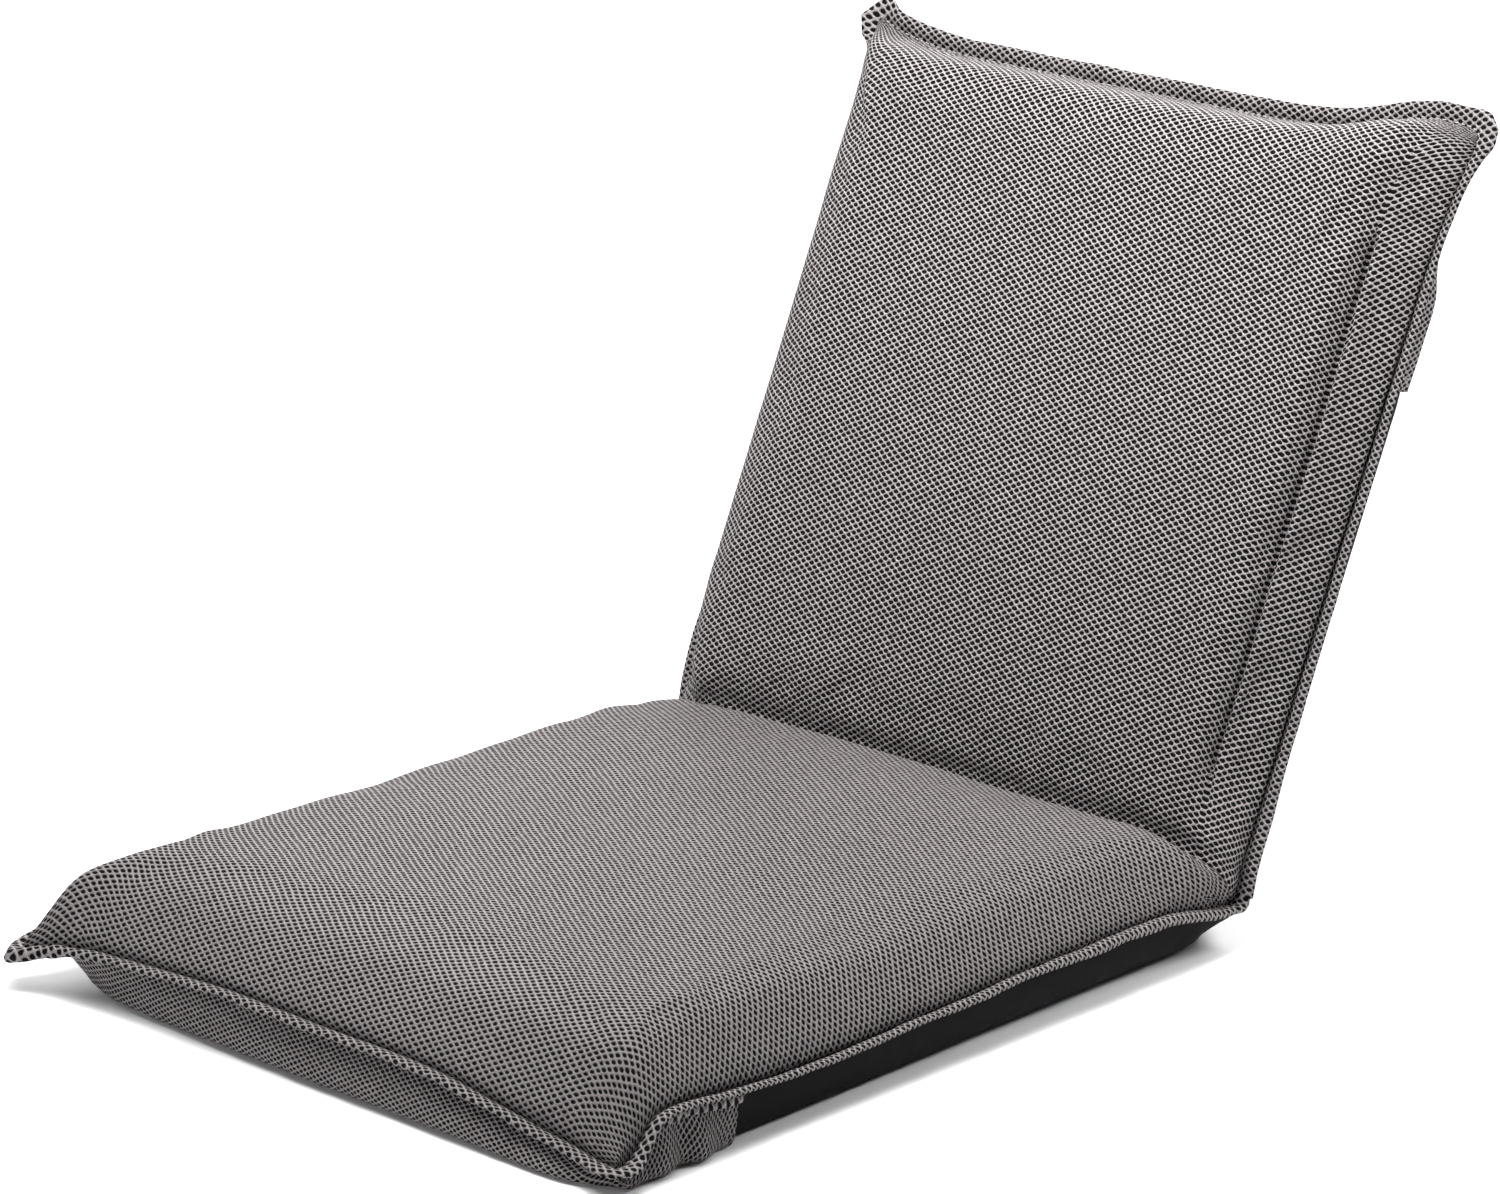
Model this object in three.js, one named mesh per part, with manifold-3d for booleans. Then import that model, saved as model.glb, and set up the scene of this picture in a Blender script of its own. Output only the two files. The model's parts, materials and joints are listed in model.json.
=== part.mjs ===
// Folding floor chair: a seat that lies on the floor and a backrest on two ratchet hinges.
// Millimetres, +Z up, +X to the right as seen from the front, +Y towards the back.
// The origin is on the floor, under the middle of the whole chair at the drawn recline.
import * as THREE from "three";
import { mergeVertices } from "three/addons/utils/BufferGeometryUtils.js";
import Module from "manifold-3d";

const wasm = await Module();
wasm.setup();

// ---- driving dimensions ----
const HALF_WIDTH = 220; // hinge line centre to the outer edge of the flange
const FLANGE_WIDTH = 11;
const FLANGE_HALF_THICKNESS = 1.8;
const SEAT_LENGTH = 485; // hinge line to the front edge of the flange
const BACK_LENGTH = 435; // hinge line to the top edge of the flange
const EAR = 10; // how far the corner ears stand out past the flange
const EAR_DROOP = 9; // how far the seat's front corners hang below the flange plane
const FLANGE_Z = 27.5; // the flange plane and the hinge line above the floor
const HINGE_Y = 147.6;
const INCLUDED_ANGLE = 115.45; // between seat and back as drawn
const SEAT_RISE = 38; // cushion edge above the flange plane
const SEAT_CROWN = 8;
const BACK_RISE = 37;
const BACK_CROWN = 7;
const REAR_RISE = 26; // rear bulge of the back behind its flange plane
const CREASE_RADIUS = 38; // hinge line to the bottom of the crease
const MESH_CLOTH = 1.8; // thickness of the air mesh
const PLAIN_CLOTH = 1.2;
const RIGID_SLOPE = 0.258; // rigid pieces stay under this slope from the hinge line, so that they clear each other folded
const RIGID_FROM = 184; // where the cushion's full height is under that slope
const TUBE_R = 8;
const TUBE_BORE_R = 6.8;
const TUBE_X = 168;
const TUBE_FROM = 38;
const CROSS_R = 6;
const STRAP = 1.2;
const STRAP_WIDTH = 50;
const CASE_R = 22;
const PLATE = 2;
const RATCHET_PLATE = 3;
const PLATE_GAP = 0.6;
const TOOTH_PITCH = 64.55 / 6; // degrees: six teeth from the drawn recline to flat, eight to folded
const TOOTH_TIP_R = 17;
const TOOTH_ROOT_R = 14.5;
const PAWL_ANGLE = -50; // where the pawl meets the toothed edge, from the seat's direction
const PAWL_REACH = 16;
const PAWL_LIFT = 8.6; // degrees between clear and engaged
const PAWL_THICKNESS = 2.4;
const RIVET_R = 2;
const RIVET_CLEARANCE = 0.25;
const PIVOT_R = 4;

const RAD = Math.PI / 180;
const INNER = HALF_WIDTH - FLANGE_WIDTH;
const SEAT_INNER = SEAT_LENGTH - FLANGE_WIDTH;
const BACK_INNER = BACK_LENGTH - FLANGE_WIDTH;
const HALF_SLOPE = Math.tan((INCLUDED_ANGLE / 2) * RAD);

// ---- materials ----
const material = (color, roughness, metalness) =>
  new THREE.MeshStandardMaterial({ color, roughness, metalness });
const airMesh = material(0x8b8784, 0.92, 0);
const blackCloth = material(0x1f1d1d, 0.9, 0);
const foam = material(0xd8d2c0, 0.95, 0);
const webbing = material(0x2b2b2b, 0.9, 0);
const paintedSteel = material(0x24262a, 0.45, 0.6);
const zincSteel = material(0xa9acae, 0.35, 1);
const springSteel = material(0x8c8f92, 0.3, 1);

// ---- solids ----
function signedVolume(position, index) {
  let sum = 0;
  const a = new THREE.Vector3();
  const b = new THREE.Vector3();
  const c = new THREE.Vector3();
  for (let i = 0; i < index.length; i += 3) {
    a.fromArray(position, index[i] * 3);
    b.fromArray(position, index[i + 1] * 3);
    c.fromArray(position, index[i + 2] * 3);
    sum += a.dot(b.cross(c)) / 6;
  }
  return sum;
}

// Merged vertices, faces turned outwards.
function outward(geometry) {
  const g = geometry.clone();
  g.deleteAttribute("normal");
  g.deleteAttribute("uv");
  const merged = mergeVertices(g, 1e-4);
  const index = Array.from(merged.index.array);
  const kept = [];
  for (let i = 0; i < index.length; i += 3) {
    const [a, b, c] = [index[i], index[i + 1], index[i + 2]];
    if (a !== b && b !== c && a !== c) kept.push(a, b, c);
  }
  if (signedVolume(merged.attributes.position.array, kept) < 0)
    for (let i = 0; i < kept.length; i += 3)
      [kept[i + 1], kept[i + 2]] = [kept[i + 2], kept[i + 1]];
  merged.setIndex(kept);
  return merged;
}

const solid = (geometry) => {
  const g = outward(geometry);
  return new wasm.Manifold(
    new wasm.Mesh({
      numProp: 3,
      vertProperties: new Float32Array(g.attributes.position.array),
      triVerts: new Uint32Array(g.index.array),
    }),
  );
};

function geometryOf(manifold) {
  const m = manifold.getMesh();
  const v = new Float32Array(m.numVert * 3);
  for (let i = 0; i < m.numVert; i++)
    v.set(
      m.vertProperties.subarray(i * m.numProp, i * m.numProp + 3),
      i * 3,
    );
  return new THREE.BufferGeometry()
    .setAttribute("position", new THREE.BufferAttribute(v, 3))
    .setIndex(new THREE.BufferAttribute(new Uint32Array(m.triVerts), 1));
}

const cut = (geometry, ...tools) =>
  geometryOf(tools.reduce((s, t) => s.subtract(solid(t)), solid(geometry)));

function piece(group, name, geometry, look) {
  const g = outward(geometry);
  g.computeVertexNormals();
  const mesh = new THREE.Mesh(g, look.clone());
  mesh.name = name;
  group.add(mesh);
  return mesh;
}

// A closed solid between two grids of points with the same rows and columns.
function between(top, bottom) {
  const rows = top.length;
  const cols = top[0].length;
  const points = [...top.flat(), ...bottom.flat()];
  const at = (layer, i, j) => layer * rows * cols + i * cols + j;
  const index = [];
  const quad = (a, b, c, d) => index.push(a, b, c, a, c, d);
  for (let i = 0; i < rows - 1; i++)
    for (let j = 0; j < cols - 1; j++) {
      quad(at(0, i, j), at(0, i, j + 1), at(0, i + 1, j + 1), at(0, i + 1, j));
      quad(at(1, i, j), at(1, i + 1, j), at(1, i + 1, j + 1), at(1, i, j + 1));
    }
  for (let i = 0; i < rows - 1; i++) {
    quad(at(0, i, 0), at(0, i + 1, 0), at(1, i + 1, 0), at(1, i, 0));
    const e = cols - 1;
    quad(at(0, i, e), at(1, i, e), at(1, i + 1, e), at(0, i + 1, e));
  }
  for (let j = 0; j < cols - 1; j++) {
    quad(at(0, 0, j), at(1, 0, j), at(1, 0, j + 1), at(0, 0, j + 1));
    const e = rows - 1;
    quad(at(0, e, j), at(0, e, j + 1), at(1, e, j + 1), at(1, e, j));
  }
  return new THREE.BufferGeometry()
    .setAttribute(
      "position",
      new THREE.Float32BufferAttribute(
        points.flatMap((p) => [p.x, p.y, p.z]),
        3,
      ),
    )
    .setIndex(index);
}

// Seat pieces run from the hinge towards -Y, back pieces towards +Y before the back is tilted.
const seatPoint = (x, s, h) => new THREE.Vector3(x, -s, h);
const backPoint = (x, s, h) => new THREE.Vector3(x, s, h);
// A point on the seat's side plane in the back's own directions.
const fromSeatSide = (s, h) => {
  const c = Math.cos(INCLUDED_ANGLE * RAD);
  const n = Math.sin(INCLUDED_ANGLE * RAD);
  return [s * c + h * n, s * n - h * c];
};

// ---- cushion surfaces ----
const lerp = (a, b, t) => a + (b - a) * t;
const clamp = (t) => Math.min(1, Math.max(0, t));
const smooth = (t) => {
  const k = clamp(t);
  return k * k * (3 - 2 * k);
};
// A quarter ellipse from an edge up to full height at r.
const shoulder = (d, r) =>
  d <= 0 ? 0 : d >= r ? 1 : Math.sqrt(1 - (1 - d / r) ** 2);

// The seat's flange plane hangs down towards its front corners.
const droop = (x, s) =>
  -EAR_DROOP *
  smooth((s - 330) / (SEAT_LENGTH - 330)) *
  Math.min(1.15, Math.abs(x / HALF_WIDTH)) ** 3;
const level = () => 0;

const seatShape = {
  place: seatPoint,
  length: SEAT_INNER,
  base: droop,
  rise: SEAT_RISE,
  crown: SEAT_CROWN,
  endRound: 50,
  under: FLANGE_Z,
  underRound: 18,
};
const backShape = {
  place: backPoint,
  length: BACK_INNER,
  base: level,
  rise: BACK_RISE,
  crown: BACK_CROWN,
  endRound: 26,
  under: REAR_RISE,
  underRound: 20,
};
const SIDE_ROUND = 24;
const CREASE_H =
  CREASE_RADIUS * Math.sin((INCLUDED_ANGLE / 2) * RAD);

// Height of the cushion's upper surface, pulled in by o.
function upper(shape, x, s, o) {
  const side = shoulder(INNER - o - Math.abs(x), SIDE_ROUND);
  const end = shoulder(shape.length - o - s, shape.endRound);
  const middle = 1 - ((s - shape.length / 2) / (shape.length * 0.62)) ** 2;
  const full =
    shape.rise + shape.crown * (1 - (x / INNER) ** 2) * Math.max(0, middle);
  const heel = lerp(CREASE_H, full, smooth((s - 16) / 60));
  return lerp(shape.base(x, s) + 1, heel - o, side * end);
}

// Height of the underside, pulled in by o.
function lower(shape, x, s, o) {
  const side = shoulder(INNER - o - Math.abs(x), SIDE_ROUND - 2);
  const end = shoulder(shape.length - o - s, shape.underRound);
  return lerp(shape.base(x, s) - 0.5, -shape.under + o, side * end);
}

const spread = [
  -1, -0.992, -0.972, -0.94, -0.9, -0.8, -0.5, 0, 0.5, 0.8, 0.9, 0.94, 0.972,
  0.992, 1,
];
const endRows = (from, to, round) => {
  const near = [1, 0.62, 0.34, 0.14, 0.03, 0];
  const straight = [0, 0.33, 0.67].map((t) => lerp(from, to - round, t));
  return [...straight, ...near.map((t) => to - round * t)];
};

// A cloth panel over the upper or under side.
function panel(shape, surface, rows, thickness) {
  const grid = (o) =>
    rows.map((s, i) =>
      spread.map((u) => {
        const x = u * (INNER - o);
        const last = i === rows.length - 1 && s >= shape.length - 0.01;
        const at = last ? s - o : Math.min(s, shape.length - o - 0.02);
        return shape.place(x, at, surface(shape, x, at, o));
      }),
    );
  return between(grid(0), grid(thickness));
}

// ---- groups: seat and back share the hinge line ----
const chair = new THREE.Group();
const seat = new THREE.Group();
seat.position.set(0, HINGE_Y, FLANGE_Z);
const back = new THREE.Group();
back.position.set(0, HINGE_Y, FLANGE_Z);
back.rotation.x = (180 - INCLUDED_ANGLE) * RAD;
chair.add(seat, back);

// ---- covers ----
piece(
  seat,
  "seat_cover",
  panel(
    seatShape,
    upper,
    endRows(RIGID_FROM, SEAT_INNER, seatShape.endRound),
    MESH_CLOTH,
  ),
  airMesh,
);
piece(
  back,
  "back_cover",
  panel(
    backShape,
    upper,
    endRows(RIGID_FROM, BACK_INNER, backShape.endRound),
    MESH_CLOTH,
  ),
  airMesh,
);
const WRAP_FROM = 385;
piece(
  seat,
  "seat_bottom_panel",
  panel(seatShape, lower, [14, 130, 255, WRAP_FROM - 0.4], PLAIN_CLOTH),
  blackCloth,
);
piece(
  seat,
  "seat_front_wrap",
  panel(
    seatShape,
    lower,
    [
      WRAP_FROM,
      ...endRows(WRAP_FROM + 12, SEAT_INNER, seatShape.underRound),
    ],
    MESH_CLOTH,
  ),
  airMesh,
);
const HOOD_FROM = 285;
piece(
  back,
  "back_rear_panel",
  panel(backShape, lower, [14, 100, 190, HOOD_FROM - 0.4], PLAIN_CLOTH),
  blackCloth,
);
piece(
  back,
  "back_hood",
  panel(
    { ...backShape, under: REAR_RISE + 1.4 },
    lower,
    [HOOD_FROM, ...endRows(HOOD_FROM + 30, BACK_INNER, backShape.underRound)],
    MESH_CLOTH,
  ),
  airMesh,
);

// Rows of the heel: the first lies on the plane that halves the angle between seat and back.
const HEEL_ROWS = [0, 28, 43, 46, 51.6, 80, 120, 150, RIGID_FROM - 0.8];
function heelPoint(shape, i, x, o) {
  const side = shoulder(INNER - o - Math.abs(x), SIDE_ROUND);
  const h0 = lerp(1 + o / 3, CREASE_H - o, side);
  if (i === 0) return [h0 / HALF_SLOPE, h0];
  const s = HEEL_ROWS[i];
  return [s, upper(shape, x, s, o)];
}

// The one panel that runs over seat and back, where it goes down into the crease.
function creaseGrid(o) {
  const tilt = new THREE.Matrix4().makeRotationX((180 - INCLUDED_ANGLE) * RAD);
  const row = (shape, i) =>
    spread.map((u) => {
      const x = u * (INNER - o);
      const p = shape.place(x, ...heelPoint(shape, i, x, o));
      return shape === backShape ? p.applyMatrix4(tilt) : p;
    });
  const steps = HEEL_ROWS.map((_, i) => i);
  return [
    ...steps
      .slice()
      .reverse()
      .map((i) => row(seatShape, i)),
    ...steps.slice(1).map((i) => row(backShape, i)),
  ];
}
piece(
  seat,
  "crease_cover",
  between(creaseGrid(0), creaseGrid(MESH_CLOTH)),
  airMesh,
);

// The black cloth round the outside of the hinge.
function heelGrid(o) {
  const reach = 13.5;
  const rear = INCLUDED_ANGLE + 90;
  const radii = [FLANGE_Z - 0.3, REAR_RISE - 0.1];
  const arc = [270, 257, 244, 231, 218, rear];
  const place = (x, a, extra) => {
    const t = (270 - a) / (270 - rear);
    const r = lerp(
      0.8,
      lerp(radii[0], radii[1], t) - o,
      shoulder(INNER - o - Math.abs(x), SIDE_ROUND - 2),
    );
    const along = extra * reach;
    const dir = a === 270 ? 0 : INCLUDED_ANGLE;
    return seatPoint(
      x,
      r * Math.cos(a * RAD) + along * Math.cos(dir * RAD),
      r * Math.sin(a * RAD) + along * Math.sin(dir * RAD),
    );
  };
  const row = (a, extra) =>
    spread.map((u) => place(u * (INNER - o), a, extra));
  return [row(270, 1), ...arc.map((a) => row(a, 0)), row(rear, 1)];
}
piece(
  seat,
  "heel_panel",
  between(heelGrid(0), heelGrid(PLAIN_CLOTH)),
  blackCloth,
);

// ---- flanges ----
function flange(shape, outer, inner) {
  const both = (list) => [
    ...list,
    ...list
      .slice(0, -1)
      .reverse()
      .map(([x, s]) => [-x, s]),
  ];
  const o = both(outer);
  const n = both(inner);
  const rows = (dz) =>
    o.map(([x, s], i) =>
      [
        [x, s],
        n[i],
      ].map(([px, ps]) => shape.place(px, ps, shape.base(px, ps) + dz)),
    );
  return between(rows(FLANGE_HALF_THICKNESS), rows(-FLANGE_HALF_THICKNESS));
}
const rim = (length) => {
  const g = INNER + 0.3;
  const e = length - FLANGE_WIDTH + 0.3;
  const w = HALF_WIDTH;
  const outer = [
    [w, 10],
    [w, length * 0.35],
    [w, length * 0.7],
    [w + 0.5, length - 75],
    [w + 2, length - 42],
    [w + 5, length - 17],
    [w + EAR, length + EAR],
    [w - 12, length + 3.5],
    [w - 40, length + 1],
    [w - 95, length],
    [0, length],
  ];
  const inner = [
    [g, 10],
    [g, length * 0.35],
    [g, length * 0.7],
    [g, length - 75],
    [g, length - 42],
    [g, length - 24],
    [g, e],
    [w - 24, e],
    [w - 45, e],
    [w - 95, e],
    [0, e],
  ];
  return [outer, inner];
};
piece(seat, "seat_flange", flange(seatShape, ...rim(SEAT_LENGTH)), airMesh);
piece(back, "back_flange", flange(backShape, ...rim(BACK_LENGTH)), airMesh);
for (const [name, k] of [
  ["hinge_flange_left", -1],
  ["hinge_flange_right", 1],
]) {
  const end = 9.6;
  const a = INCLUDED_ANGLE * RAD;
  const path = new THREE.QuadraticBezierCurve(
    new THREE.Vector2(end, 0),
    new THREE.Vector2(-0.6, -0.4),
    new THREE.Vector2(end * Math.cos(a), end * Math.sin(a)),
  );
  const rows = (d) =>
    [0, 0.25, 0.5, 0.75, 1].map((t) => {
      const p = path.getPoint(t);
      const n = path.getTangent(t);
      return [INNER + 0.3, HALF_WIDTH].map((x) =>
        seatPoint(k * x, p.x + n.y * d, p.y - n.x * d),
      );
    });
  piece(
    seat,
    name,
    between(rows(FLANGE_HALF_THICKNESS), rows(-FLANGE_HALF_THICKNESS)),
    airMesh,
  );
}

// ---- foam ----
const FOAM_IN = MESH_CLOTH + 1.2;
const FRAME_CLEAR = TUBE_R + STRAP + 0.8;
const foamColumns = (() => {
  const half = [0, 0.4, 0.723, 0.745, 0.872, 0.893, 0.905, 0.95, 0.985, 1];
  return [...half.slice(1).reverse().map((u) => -u), ...half].map(
    (u) => u * (INNER - FOAM_IN),
  );
})();
const FRAME_SIDE = 182;
// The rigid foam's top, under the soft heel and under the slope that the folded back needs.
const rigidTop = (shape, x, s) =>
  s < RIGID_FROM
    ? Math.min(
        upper(shape, x, s, FOAM_IN) - 1.2,
        RIGID_SLOPE * Math.max(s, 52) - 1.5,
      )
    : upper(shape, x, s, FOAM_IN);
const FOAM_ROWS = (shape) => [
  260,
  320,
  shape.length - 104,
  shape.length - shape.endRound - 8,
];
function foamTop(shape, tubeEnd) {
  const rows = [
    52,
    80,
    120,
    150,
    RIGID_FROM - 0.8,
    RIGID_FROM + 0.4,
    ...FOAM_ROWS(shape),
    tubeEnd + 10,
    tubeEnd + 13,
    shape.length - 8,
    shape.length - FOAM_IN,
  ].sort((p, q) => p - q);
  const low = (x, s) =>
    Math.abs(x) < FRAME_SIDE && s < tubeEnd + 11.5
      ? FRAME_CLEAR
      : shape.base(x, s) + 0.4;
  return between(
    rows.map((s) =>
      foamColumns.map((x) =>
        shape.place(x, s, Math.max(rigidTop(shape, x, s), low(x, s) + 0.4)),
      ),
    ),
    rows.map((s) => foamColumns.map((x) => shape.place(x, s, low(x, s)))),
  );
}
function foamHeel(shape) {
  const notch = CASE_R + 1;
  const top = [];
  const bottom = [];
  HEEL_ROWS.forEach((row, i) => {
    const t = [];
    const b = [];
    for (const x of foamColumns) {
      const [s, h] = heelPoint(shape, i, x, FOAM_IN);
      const near = row < 44.5 && Math.abs(x) > 152 && Math.abs(x) < 185;
      const floor = near ? notch : FRAME_CLEAR;
      if (i === 0) {
        const low = Math.max(0.6, Math.min(floor, h - 0.6));
        t.push(shape.place(x, s + 0.5, h));
        b.push(shape.place(x, low / HALF_SLOPE + 0.5, low));
      } else {
        const over = row > 50 ? rigidTop(shape, x, row) + 0.4 : floor;
        const high = Math.max(h, 2.4);
        t.push(shape.place(x, s, high));
        b.push(shape.place(x, s, Math.min(Math.max(floor, over), high - 0.6)));
      }
    }
    top.push(t);
    bottom.push(b);
  });
  return between(top, bottom);
}
function padUnder(shape, tubeEnd) {
  const o = FOAM_IN;
  const rows = [
    44,
    150,
    ...FOAM_ROWS(shape),
    tubeEnd + 10,
    tubeEnd + 13,
    shape.length - 8,
    shape.length - o,
  ].sort((p, q) => p - q);
  const line = foamColumns;
  const bottom = rows.map((s) =>
    line.map((x) => shape.place(x, s, lower(shape, x, s, o))),
  );
  const top = rows.map((s) =>
    line.map((x) => {
      const high =
        Math.abs(x) < FRAME_SIDE && s < tubeEnd + 11.5
          ? -FRAME_CLEAR
          : shape.base(x, s) - 0.2;
      return shape.place(x, s, Math.max(high, lower(shape, x, s, o) + 0.3));
    }),
  );
  return between(top, bottom);
}
const SEAT_BAR = 446; // centre of the seat tube's front run
const BACK_BAR = 396;
piece(seat, "seat_foam", foamTop(seatShape, SEAT_BAR), foam);
piece(back, "back_foam", foamTop(backShape, BACK_BAR), foam);
piece(seat, "seat_heel_foam", foamHeel(seatShape), foam);
piece(back, "back_heel_foam", foamHeel(backShape), foam);
piece(seat, "seat_under_pad", padUnder(seatShape, SEAT_BAR), foam);
piece(back, "back_rear_pad", padUnder(backShape, BACK_BAR), foam);

// ---- tube frames ----
class CornerPath extends THREE.Curve {
  constructor(points) {
    super();
    this.points = points;
  }
  getPoint(t, target = new THREE.Vector3()) {
    const n = this.points.length - 1;
    const i = Math.min(n - 1, Math.floor(t * n));
    return target.copy(this.points[i]).lerp(this.points[i + 1], t * n - i);
  }
  getUtoTmapping(u) {
    return u;
  }
}
const circle = (r, sides) =>
  Array.from({ length: sides }, (_, i) => {
    const a = ((i + 0.5) / sides) * 2 * Math.PI;
    return new THREE.Vector2(r * Math.cos(a), r * Math.sin(a));
  });
function tube(points, r, bore, sides) {
  const ring = new THREE.Shape(circle(r, sides));
  ring.holes.push(new THREE.Path(circle(bore, sides)));
  return new THREE.ExtrudeGeometry(ring, {
    steps: points.length - 1,
    bevelEnabled: false,
    extrudePath: new CornerPath(points),
  });
}
// A cylinder across the chair, centred at x.
const across = (place, x, s, h, r, length, sides = 8) => {
  const c = place(x, s, h);
  return new THREE.CylinderGeometry(r, r, length, sides)
    .rotateZ(Math.PI / 2)
    .translate(c.x, c.y, c.z);
};
const RIVETS_AT = [50, 68];
function frameTube(place, bar) {
  const bend = 55;
  const right = [place(TUBE_X, TUBE_FROM, 0), place(TUBE_X, bar - bend, 0)];
  for (let a = 15; a <= 90; a += 15)
    right.push(
      place(
        TUBE_X - bend + bend * Math.cos(a * RAD),
        bar - bend + bend * Math.sin(a * RAD),
        0,
      ),
    );
  const left = right
    .map((p) => new THREE.Vector3(-p.x, p.y, p.z))
    .reverse();
  const holes = [-TUBE_X, TUBE_X].flatMap((x) =>
    RIVETS_AT.map((s) =>
      across(place, x, s, 0, RIVET_R + RIVET_CLEARANCE, 30),
    ),
  );
  return cut(tube([...right, ...left], TUBE_R, TUBE_BORE_R, 10), ...holes);
}
piece(seat, "seat_frame_tube", frameTube(seatPoint, SEAT_BAR), paintedSteel);
piece(back, "back_frame_tube", frameTube(backPoint, BACK_BAR), paintedSteel);
const crossTube = (place, s) => {
  const reach = TUBE_X - TUBE_R - 0.4;
  return tube([place(-reach, s, 0), place(reach, s, 0)], CROSS_R, 4.8, 12);
};
piece(seat, "seat_cross_tube", crossTube(seatPoint, 104), paintedSteel);
piece(back, "back_cross_tube", crossTube(backPoint, 104), paintedSteel);

// A strap that goes over both side runs of the frame and back under them.
function strap(place, s) {
  const outer = TUBE_R + 0.4 + STRAP;
  const inner = TUBE_R + 0.4;
  const tail = TUBE_X - 42;
  const pts = [];
  const turn = (r, from, to) => {
    for (let i = 0; i <= 6; i++) {
      const a = lerp(from, to, i / 6) * RAD;
      pts.push([TUBE_X + r * Math.cos(a), r * Math.sin(a)]);
    }
  };
  turn(outer, 90, -90);
  pts.push([tail, -outer], [tail, -inner]);
  turn(inner, -90, 90);
  const left = pts.map(([x, h]) => [-x, h]).reverse();
  const shape = new THREE.Shape(
    [...pts, ...left].map(([x, h]) => new THREE.Vector2(x, h)),
  );
  const low = place(0, s - STRAP_WIDTH / 2, 0).y;
  const high = place(0, s + STRAP_WIDTH / 2, 0).y;
  return new THREE.ExtrudeGeometry(shape, {
    depth: STRAP_WIDTH,
    bevelEnabled: false,
  })
    .rotateX(Math.PI / 2)
    .translate(0, Math.max(low, high), 0);
}
for (const [name, s] of [
  ["seat_strap_rear", 160],
  ["seat_strap_middle", 250],
  ["seat_strap_front", 340],
])
  piece(seat, name, strap(seatPoint, s), webbing);
for (const [name, s] of [
  ["back_strap_lower", 150],
  ["back_strap_middle", 226],
  ["back_strap_upper", 302],
])
  piece(back, name, strap(backPoint, s), webbing);

// ---- ratchet hinges ----
// A flat plate whose outline is given on the side plane, from x0 to x1.
function plate(place, outline, x0, x1) {
  const shape = new THREE.Shape(outline.map(([s, h]) => new THREE.Vector2(s, h)));
  const g = new THREE.ExtrudeGeometry(shape, {
    depth: 1,
    bevelEnabled: false,
  });
  const p = g.attributes.position;
  for (let i = 0; i < p.count; i++) {
    const v = place(lerp(x0, x1, p.getZ(i)), p.getX(i), p.getY(i));
    p.setXYZ(i, v.x, v.y, v.z);
  }
  return g;
}
const TANG_END = 78;
const pawlPivot = (() => {
  const a = PAWL_ANGLE * RAD;
  return [
    TOOTH_TIP_R * Math.cos(a) - PAWL_REACH * Math.sin(a),
    TOOTH_TIP_R * Math.sin(a) + PAWL_REACH * Math.cos(a),
  ];
})();
const stopRivet = [25, -12.5];
function caseOutline() {
  const pts = [];
  for (let a = 40; a <= 300; a += 26)
    pts.push([CASE_R * Math.cos(a * RAD), CASE_R * Math.sin(a * RAD)]);
  pts.push([26, -17.5], [33, -12], [38, -5], [TANG_END, -5], [TANG_END, 5]);
  pts.push([38, 5], [31, 10], [23, 12]);
  return pts;
}
function ratchetOutline() {
  const pts = [];
  const half = TOOTH_PITCH / 2;
  const polar = (r, b) => [r * Math.cos(b * RAD), r * Math.sin(b * RAD)];
  for (let k = -6; k <= 8; k++) {
    const b = PAWL_ANGLE + k * TOOTH_PITCH;
    pts.push(polar(TOOTH_TIP_R, b - half + 0.2), polar(TOOTH_ROOT_R, b - half + 0.7));
  }
  const last = PAWL_ANGLE + 8 * TOOTH_PITCH + half;
  pts.push(polar(TOOTH_TIP_R, last), polar(TOOTH_TIP_R, last + 14));
  // the tang, up the back
  const tangHalf = 6;
  const along = (s, h) => {
    const a = INCLUDED_ANGLE * RAD;
    return [s * Math.cos(a) + h * Math.sin(a), s * Math.sin(a) - h * Math.cos(a)];
  };
  pts.push(along(17, tangHalf), along(TANG_END, tangHalf));
  pts.push(along(TANG_END, -tangHalf), along(17, -tangHalf));
  const first = PAWL_ANGLE - 6 * TOOTH_PITCH - half + 360;
  for (const t of [0.3, 0.6, 0.9])
    pts.push(polar(TOOTH_TIP_R - 0.5, lerp(INCLUDED_ANGLE + 22, first, t)));
  return pts.map(([s, h]) => fromSeatSide(s, h));
}
// A point given along the pawl and outwards from the hinge line.
const fromPawlLine = ([u, v]) => {
  const c = Math.cos(PAWL_ANGLE * RAD);
  const n = Math.sin(PAWL_ANGLE * RAD);
  return [v * c - u * n, v * n + u * c];
};
function pawlOutline() {
  const pts = [
    [-1.1, 15.1],
    [-1.1, 19],
    [3, 20.6],
    [11, 20.6],
  ];
  for (let a = 120; a >= -120; a -= 30)
    pts.push([
      PAWL_REACH + 4.4 * Math.cos(a * RAD),
      TOOTH_TIP_R + 4.4 * Math.sin(a * RAD),
    ]);
  pts.push([9, 17.4], [1.7, 17.7]);
  // engaged outline, then lifted about the pawl rivet
  const d = -PAWL_LIFT * RAD;
  return pts.map(([u, v]) => {
    const du = u - PAWL_REACH;
    const dv = v - TOOTH_TIP_R;
    const a = PAWL_REACH + du * Math.cos(d) - dv * Math.sin(d);
    const b = TOOTH_TIP_R + du * Math.sin(d) + dv * Math.cos(d);
    return fromPawlLine([a, b]);
  });
}
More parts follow.
